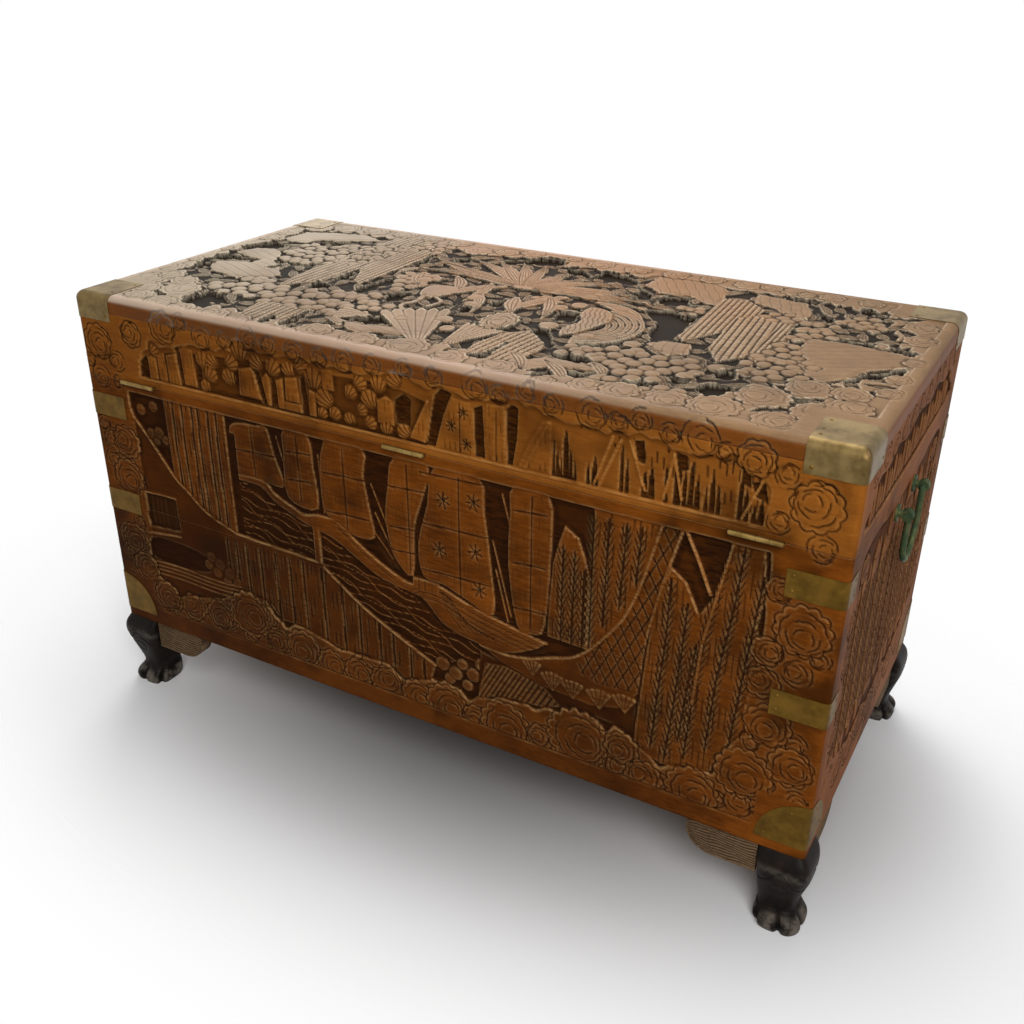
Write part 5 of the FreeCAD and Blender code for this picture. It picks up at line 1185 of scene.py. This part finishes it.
def lid_plank(node, low, high, caps):
    """A plank of the top between two places across the lid. Its grid runs over the top, round the rims
    and down the sides, drawn in a little at the lid's rounded corners; the carving moves it along the
    normal of the face it lies on."""
    step, corner = 1.5, 6
    flat_x, flat_y = HALF_LENGTH - LID_ROUND, HALF_DEPTH - LID_ROUND
    quarter = LID_ROUND * math.pi / 2
    bend = np.concatenate([np.arange(1, 9) * quarter / 8, quarter + np.arange(1, 9) * step])
    a = np.linspace(-flat_x, flat_x, int(2 * flat_x / step) + 1)
    a = np.concatenate([-flat_x - bend[::-1], a, flat_x + bend])
    first, last = max(low, -flat_y), min(high, flat_y)
    b = np.linspace(first, last, int((last - first) / step) + 1)
    top = Relief(LID_MIDDLE[0] + a, LID_MIDDLE[1] + b)
    birds(top)
    heights, shades = [top.height], [top.colours()]
    for sign, wanted in ((-1, low < -flat_y), (1, high > flat_y)):
        if wanted:
            rim = Relief(WALL_MIDDLE + a, WALL_TOP - LID_TOP + fold(flat_y + bend, HALF_DEPTH)[1])
            harbour(rim)
            order = slice(None, None, sign)
            at = 0 if sign < 0 else len(heights)
            heights.insert(at, rim.height[order] * smooth(rim.v, 8, 14)[order, None])
            shades.insert(at, rim.colours()[order])
            b = np.concatenate([-flat_y - bend[::-1], b]) if sign < 0 else np.concatenate([b, flat_y + bend])
    height, shade = np.concatenate(heights), np.concatenate(shades)
    (x, x_drop, x_tilt), (y, y_drop, y_tilt) = fold(-a, HALF_LENGTH), fold(b, HALF_DEPTH)
    x, y = np.broadcast_arrays(x[None, :], y[:, None])
    height = height * np.cos(x_tilt)[None, :] ** 4
    drop = np.maximum(x_drop[None, :], y_drop[:, None]) - height * np.cos(y_tilt)[:, None]
    y = y + np.sign(y) * height * np.sin(y_tilt)[:, None]
    dx = np.clip(np.abs(x) - HALF_LENGTH + corner, 0, corner)
    dy = np.clip(np.abs(y) - HALF_DEPTH + corner, 0, corner)
    x = x - np.sign(x) * dx * (1 - np.sqrt(1 - (dy / corner) ** 2 / 2))
    y = y - np.sign(y) * dy * (1 - np.sqrt(1 - (dx / corner) ** 2 / 2))
    grid = np.stack([x, y, LID_TOP - np.minimum(drop, LID_THICKNESS)], -1)
    solid(node + "_carved", [(grid, shade, caps, False)], "lid", node, (carved_top, plain_camphor))


seam = HALF_DEPTH / 3
lid_plank("lid_plank_front", -HALF_DEPTH - 1, -seam,
          (((BACKWARD, 0), (0, slice(1, -1)), (FORWARD, -1)), ((-1, BACKWARD),)))
lid_plank("lid_plank_middle", -seam, seam, ALL_ROUND)
lid_plank("lid_plank_back", seam, HALF_DEPTH + 1,
          (((0, FORWARD),), ((FORWARD, -1), (-1, slice(-2, 0, -1)), (BACKWARD, 0))))


# Feet
# Four carved paws of dark wood: a bulging knee with a scored brow, a slimmer ankle, and toes that spread
# on the floor. They are black with age and worn grey where they are rubbed.

start = blank("paw_wood")
place = start.add("ShaderNodeTexCoord", {}, "Object")
cavity_shade, worn = kept_carving(start)[:2]
patches = place.noise(60.0, 4.0, 0.6)
specks = place.noise(420.0, 2.0, 0.6)
tint = patches.rise(0.35, 0.75).mix(paint(13, 9, 7), paint(32, 22, 16))
tint = (worn * patches.rise(0.35, 0.65) * 0.8).mix(tint, paint(104, 96, 86))
# painted shade in the clefts, the brow, the eyes and the band
tint = (cavity_shade * 0.9).mix(tint, paint(10, 7, 6))
foot_wood = surface("paw_wood", tint, 0.34 + patches * 0.25, patches * 0.5 + specks * 0.5, 0.25, 0.0008,
                    {"Specular IOR Level": 0.08})

FOOT_HEIGHT, FOOT_WIDTH = 112, 52
# height, how far the leg stands out of the chest's corner, and its width
LEG = curve([(FOOT_HEIGHT, 0, FOOT_WIDTH), (101, 6.5, 58), (89, 9.4, 61), (76, 8.6, 60), (63, 5, 56.5),
             (50, 1.0, 51.5), (38, -2.6, 46.5), (30, -3.6, 44.5), (22, -0.5, 48.5), (14, 5.6, 55.4),
             (8, 7.4, 57.2), (3, 6.6, 55.6), (0, 5, 52.4)], False, 9)


def foot_grid(sx, sy):
    """A foot: round each height runs a squarish ring, as wide and as far out as the leg there, pinched
    between the toes and scored on the knee."""
    z, proud, wide = (LEG[:, [i]] for i in range(3))
    turn = np.radians(np.linspace(0, 360, 180, endpoint=False))[None, :]
    power = 3.2 + 3.5 * smooth(z, 70, 110)
    c, d = np.cos(turn), np.sin(turn)
    round_off = (np.abs(c) ** power + np.abs(d) ** power) ** (-1 / power)
    off = (np.degrees(turn) - 45 + 180) % 360 - 180
    low = smooth(30 - z, 0, 14)
    cleft = sum(np.exp(-((off - spot) / 7.5) ** 2) for spot in (-92, -32, 32, 92)) * low
    brow = np.exp(-((z - 79 + 9 * np.cos(np.radians(off * 4))) / 1.3) ** 2) * smooth(100 - np.abs(off), 0, 10)
    eye = np.exp(-((np.hypot((np.abs(off) - 42) * 0.45, z - 66) - 8) / 1.3) ** 2)
    band = np.exp(-((z - 27) / 1.5) ** 2)
    share = 1 - 0.2 * cleft - 0.035 * (brow + eye) * smooth(100 - np.abs(off), 0, 10) - 0.03 * band
    size = wide / 2 * round_off * share
    middle = proud - wide / 2
    p, q = middle + size * c, middle + size * d
    p, q = np.minimum(p, 9.9), np.minimum(q, 9.9)
    grid = np.stack([sx * (HALF_LENGTH + p), sy * (HALF_DEPTH + q), np.broadcast_to(z, p.shape)], -1)
    # painted shade in the clefts, the scored brow, round the eyes and in the band
    cavity_shade = np.clip(cleft * 0.9 + 0.6 * (brow + eye) + 0.5 * band, 0, 1)
    worn = np.clip(smooth(24 - z, 0, 6) * (1 - cleft) + smooth(9 - np.abs(z - 89), 0, 8) * 0.5, 0, 1)
    shade = np.stack([cavity_shade, np.broadcast_to(worn, cavity_shade.shape), 0 * cavity_shade, 0 * cavity_shade], -1)
    return (grid, shade) if sx * sy > 0 else (grid[:, ::-1], shade[:, ::-1])


CORNERS = {"front_left": (-1, -1), "front_right": (1, -1), "back_left": (-1, 1), "back_right": (1, 1)}
for corner, (sx, sy) in CORNERS.items():
    solid("foot_%s_carved" % corner, [(*foot_grid(sx, sy), (((0, FORWARD),), ((-1, BACKWARD),)), True)],
          "carcase", "foot_" + corner, (foot_wood,))


# Brackets
# A wing of wood on each side of every foot, rounded at its free end and combed with wavering lines like
# feathers. Greyer and duller than the walls.

wing_colours = [paint(106, 82, 58), paint(76, 57, 40), paint(48, 34, 22), paint(16, 11, 7),
                paint(168, 142, 110)]
bracket_wood = carved_wood("wing_wood", wing_colours, (5.0, 5.0, 9.0), 0.5, 0.05)


def wing(along_x, sx, sy):
    """A wing: columns run away from the foot; rows go over its top, down the combed face to an edge that
    is a straight run and a quarter round, and back under it."""
    length, depth, thickness, lines = 83, 43, 19.8, 12
    s = np.linspace(0, length, 56)
    t = np.linspace(0, 1, 64)[:, None]
    deep = depth - 31 * (1 - np.sqrt(np.clip(1 - ((s - 50) / 33.5).clip(0, 1) ** 2, 0, 1)))
    line = t * deep / depth * lines
    line = line + 0.25 * np.sin(s / 9 + 7 * t) + 0.1 * np.sin(s / 3.7 + 3 * t)
    cut = np.abs(line - np.round(line)) * 2
    groove = 1.2 * (1 - smooth(cut, 0.1, 0.75)) * smooth(s, -1, 2) * smooth(deep * (1 - t), 0.2, 2)
    none = np.zeros((1, len(s)))
    out = np.vstack([none - thickness, -groove - 0.2, none - thickness])
    down = np.vstack([none, t * deep, deep[None, :]])
    # painted shade in the combed grooves and a painted highlight on the ridges between them
    cavity_shade = np.vstack([none, groove / 2.0, none])
    shade = np.stack([cavity_shade, np.clip(0.6 - cavity_shade, 0, 1), 0.1 + 0.4 * cavity_shade, 0 * cavity_shade], -1)
    run, side = np.broadcast_to(s, out.shape), out - 3
    if along_x:
        x, y = sx * (HALF_LENGTH - FOOT_WIDTH - run), sy * (HALF_DEPTH + side)
    else:
        x, y = sx * (HALF_LENGTH + side), sy * (HALF_DEPTH - FOOT_WIDTH - run)
    grid = np.stack([x, y, FOOT_HEIGHT - down], -1)
    caps = (((BACKWARD, 0),), ((FORWARD, -1),), ((0, FORWARD), (-1, BACKWARD)))
    flip = (sx * sy < 0) == along_x
    return (grid[:, ::-1], shade[:, ::-1], caps, False) if flip else (grid, shade, caps, False)


for corner, (sx, sy) in CORNERS.items():
    solid("foot_brackets_%s_carved" % corner, [wing(True, sx, sy), wing(False, sx, sy)],
          "carcase", "foot_brackets_" + corner, (bracket_wood,))


# Brass plates and nails
# Thin sheet brass, fixed with small round nails: caps on the lid's corners, straps round the carcase's
# and quarter discs at its foot. It is dulled to a brownish olive, paler on the caps.

def dress(names, material):
    """Give pieces that keep their own shape a finish."""
    for name in names:
        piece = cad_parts[name]
        piece.data.materials.clear()
        piece.data.materials.append(material)


def old_metal(name, bright, dull, crust, share, rough, metal):
    """Metal with clouds of tarnish between two colours and spots of crust that are not metal."""
    start = blank(name)
    place = start.add("ShaderNodeTexCoord", {}, "Object")
    clouds = place.noise(45.0, 4.0, 0.6)
    spots = place.noise(170.0, 3.0, 0.6)
    scuffs = place.stretch(1.0, 1.0, 5.0).noise(260.0, 2.0, 0.5)
    cover = (clouds * 0.6 + spots * 0.4).rise(share, share + 0.14)
    tint = cover.mix(clouds.rise(0.3, 0.7).mix(bright, dull), crust)
    dents = clouds * 0.4 + spots * 0.4 + scuffs * 0.2
    made = surface(name, tint, rough + cover * 0.25 + scuffs * 0.12, dents, 0.2, 0.0006,
                   {"Specular IOR Level": 0.1})
    shader = start.tree.nodes["Principled BSDF"]
    start.tree.links.new((metal - cover * 0.6).socket, shader.inputs["Metallic"])
    return made


cap_brass = old_metal("cap_brass", paint(124, 104, 66), paint(90, 72, 40), paint(64, 49, 24), 0.60, 0.40,
                      0.85)
dress(["lid_corner_cap_" + corner for corner in CORNERS], cap_brass)
brass = old_metal("strap_brass", paint(108, 80, 28), paint(80, 58, 17), paint(54, 41, 13), 0.58, 0.46, 0.75)
dress([kind + corner for corner in CORNERS for kind in ("corner_straps_", "base_corner_plate_")]
      + ["brass_nails_carcase", "brass_nails_lid"], brass)


# Hinges
# Three butt hinges of paler brass along the back, with their pins and screws.

hinge_brass = old_metal("leaf_brass", paint(150, 124, 72), paint(112, 88, 46), paint(70, 54, 26), 0.60,
                        0.38, 0.9)
leaves = ["hinge_%s_%s_leaf" % (at, part) for at in ("left", "middle", "right") for part in ("body", "lid")]
dress(leaves + ["hinge_pins", "hinge_screws_carcase", "hinge_screws_lid"], hinge_brass)


# Handles
# A bail hangs in two posts on each end. The brass has turned green all over.

verdigris = old_metal("verdigris", paint(84, 88, 54), paint(58, 72, 48), paint(48, 66, 46), 0.46, 0.5, 0.55)
dress([part + side for part in ("handle_posts_", "handle_bail_") for side in ("left", "right")],
      verdigris)


# Lock
# A box lock let into the front wall, its link plate under the lid and a round plate about the keyhole.

lock_brass = old_metal("case_brass", paint(190, 160, 92), paint(140, 112, 58), paint(80, 62, 32), 0.60,
                       0.34, 0.9)
dress(["lock_case", "lock_bolt", "lock_link_plate", "keyhole_plate"], lock_brass)


# Bottom and dust lips
# Bare camphor planks form the floor of the chest, and thin strips stand round its mouth.

dress(["bottom_plank_" + name for name in ("front", "middle", "back")]
      + ["dust_lip_" + name for name in ("front", "left", "right")], plain_camphor)


# Floor, backdrop and light
# A floor with a painted shadow: grey under the chest, pale about it and clear farther away, so that it
# fades into the white behind. Three large soft lamps: the strongest near the camera, one overhead and
# one beyond.

floor = bpy.data.objects.new("floor", bpy.data.meshes.new("floor"))
floor.data.from_pydata([(-9, -9, 0), (9, -9, 0), (9, 9, 0), (-9, 9, 0)], [], [(0, 1, 2, 3)])
bpy.context.scene.collection.objects.link(floor)
start = blank("floor")
start.tree.nodes.remove(start.tree.nodes["Principled BSDF"])
spot = start.add("ShaderNodeTexCoord", {}, "Object").stretch(0.62, 1.0, 1.0)
away = spot.add("ShaderNodeVectorMath", {0: spot}, 1, operation="LENGTH")
# painted shadow: the floor's colour is grey under and about the chest
grey = away.rise(0.12, 0.46).mix((0.18, 0.18, 0.18, 1.0), (0.84, 0.84, 0.845, 1.0))
pale = start.add("ShaderNodeBsdfDiffuse", {"Color": grey})
clear = start.add("ShaderNodeBsdfTransparent", {})
shown = start.add("ShaderNodeMixShader", {0: away.rise(0.33, 0.68), 1: pale, 2: clear})
start.tree.links.new(shown.socket, start.tree.nodes["Material Output"].inputs["Surface"])
floor.data.materials.append(bpy.data.materials["floor"])

world = bpy.data.worlds.new("studio")
bpy.context.scene.world = world
world.use_nodes = True
start = Wire(world.node_tree)
rays = ("Is Camera Ray", "Is Glossy Ray", "Is Transmission Ray")
seen, mirrored, through = (start.add("ShaderNodeLightPath", {}, ray) for ray in rays)
white = start.add("ShaderNodeBackground", {"Color": (1.0, 1.0, 1.0, 1.0), "Strength": 1.0})
dim = start.add("ShaderNodeBackground", {"Color": (0.97, 0.98, 1.0, 1.0), "Strength": 0.15})
both = start.add("ShaderNodeMixShader", {0: seen + mirrored + through, 1: dim, 2: white})
world.node_tree.links.new(both.socket, world.node_tree.nodes["World Output"].inputs["Surface"])

for name, place, aim, size, power in (("overhead", (0.3, -0.8, 2.6), (0, 0, 0.3), 1.8, 46),
                                      ("beyond", (1.6, -2.4, 1.9), (0, 0, 0.55), 1.6, 30),
                                      ("near", (-1.6, 2.2, 2.2), (0, 0, 0.3), 1.8, 84)):
    lamp = bpy.data.objects.new(name, bpy.data.lights.new(name, "AREA"))
    lamp.data.size = size
    lamp.data.energy = power
    ray = np.subtract(place, aim) / np.linalg.norm(np.subtract(place, aim))
    aside = np.cross([0, 0, 1], ray) / np.linalg.norm(np.cross([0, 0, 1], ray))
    over = np.cross(ray, aside)
    lamp.matrix_world = Matrix([[aside[i], over[i], ray[i], place[i]] for i in range(3)] + [[0, 0, 0, 1]])
    bpy.context.scene.collection.objects.link(lamp)
bpy.context.scene.view_settings.view_transform = "Standard"


# Camera
# It stands behind the chest's left corner, a little above the lid, as the picture was taken.

camera = bpy.data.objects.new("camera", bpy.data.cameras.new("camera"))
bpy.context.scene.collection.objects.link(camera)
bpy.context.scene.camera = camera
forward = np.array([0.4341, -0.7778, -0.4547])
forward /= np.linalg.norm(forward)
level_right = np.cross(forward, [0, 0, 1])
level_right /= np.linalg.norm(level_right)
level_up = np.cross(level_right, forward)
roll = 0.0078
right = math.cos(roll) * level_right + math.sin(roll) * level_up
up = np.cross(right, forward)
stand = (-0.6639, 1.1877, 0.9909)
camera.matrix_world = Matrix([[right[i], up[i], -forward[i], stand[i]] for i in range(3)] + [[0, 0, 0, 1]])
camera.data.sensor_width = 36.0
camera.data.lens = 39.456
camera.data.clip_start = 0.05
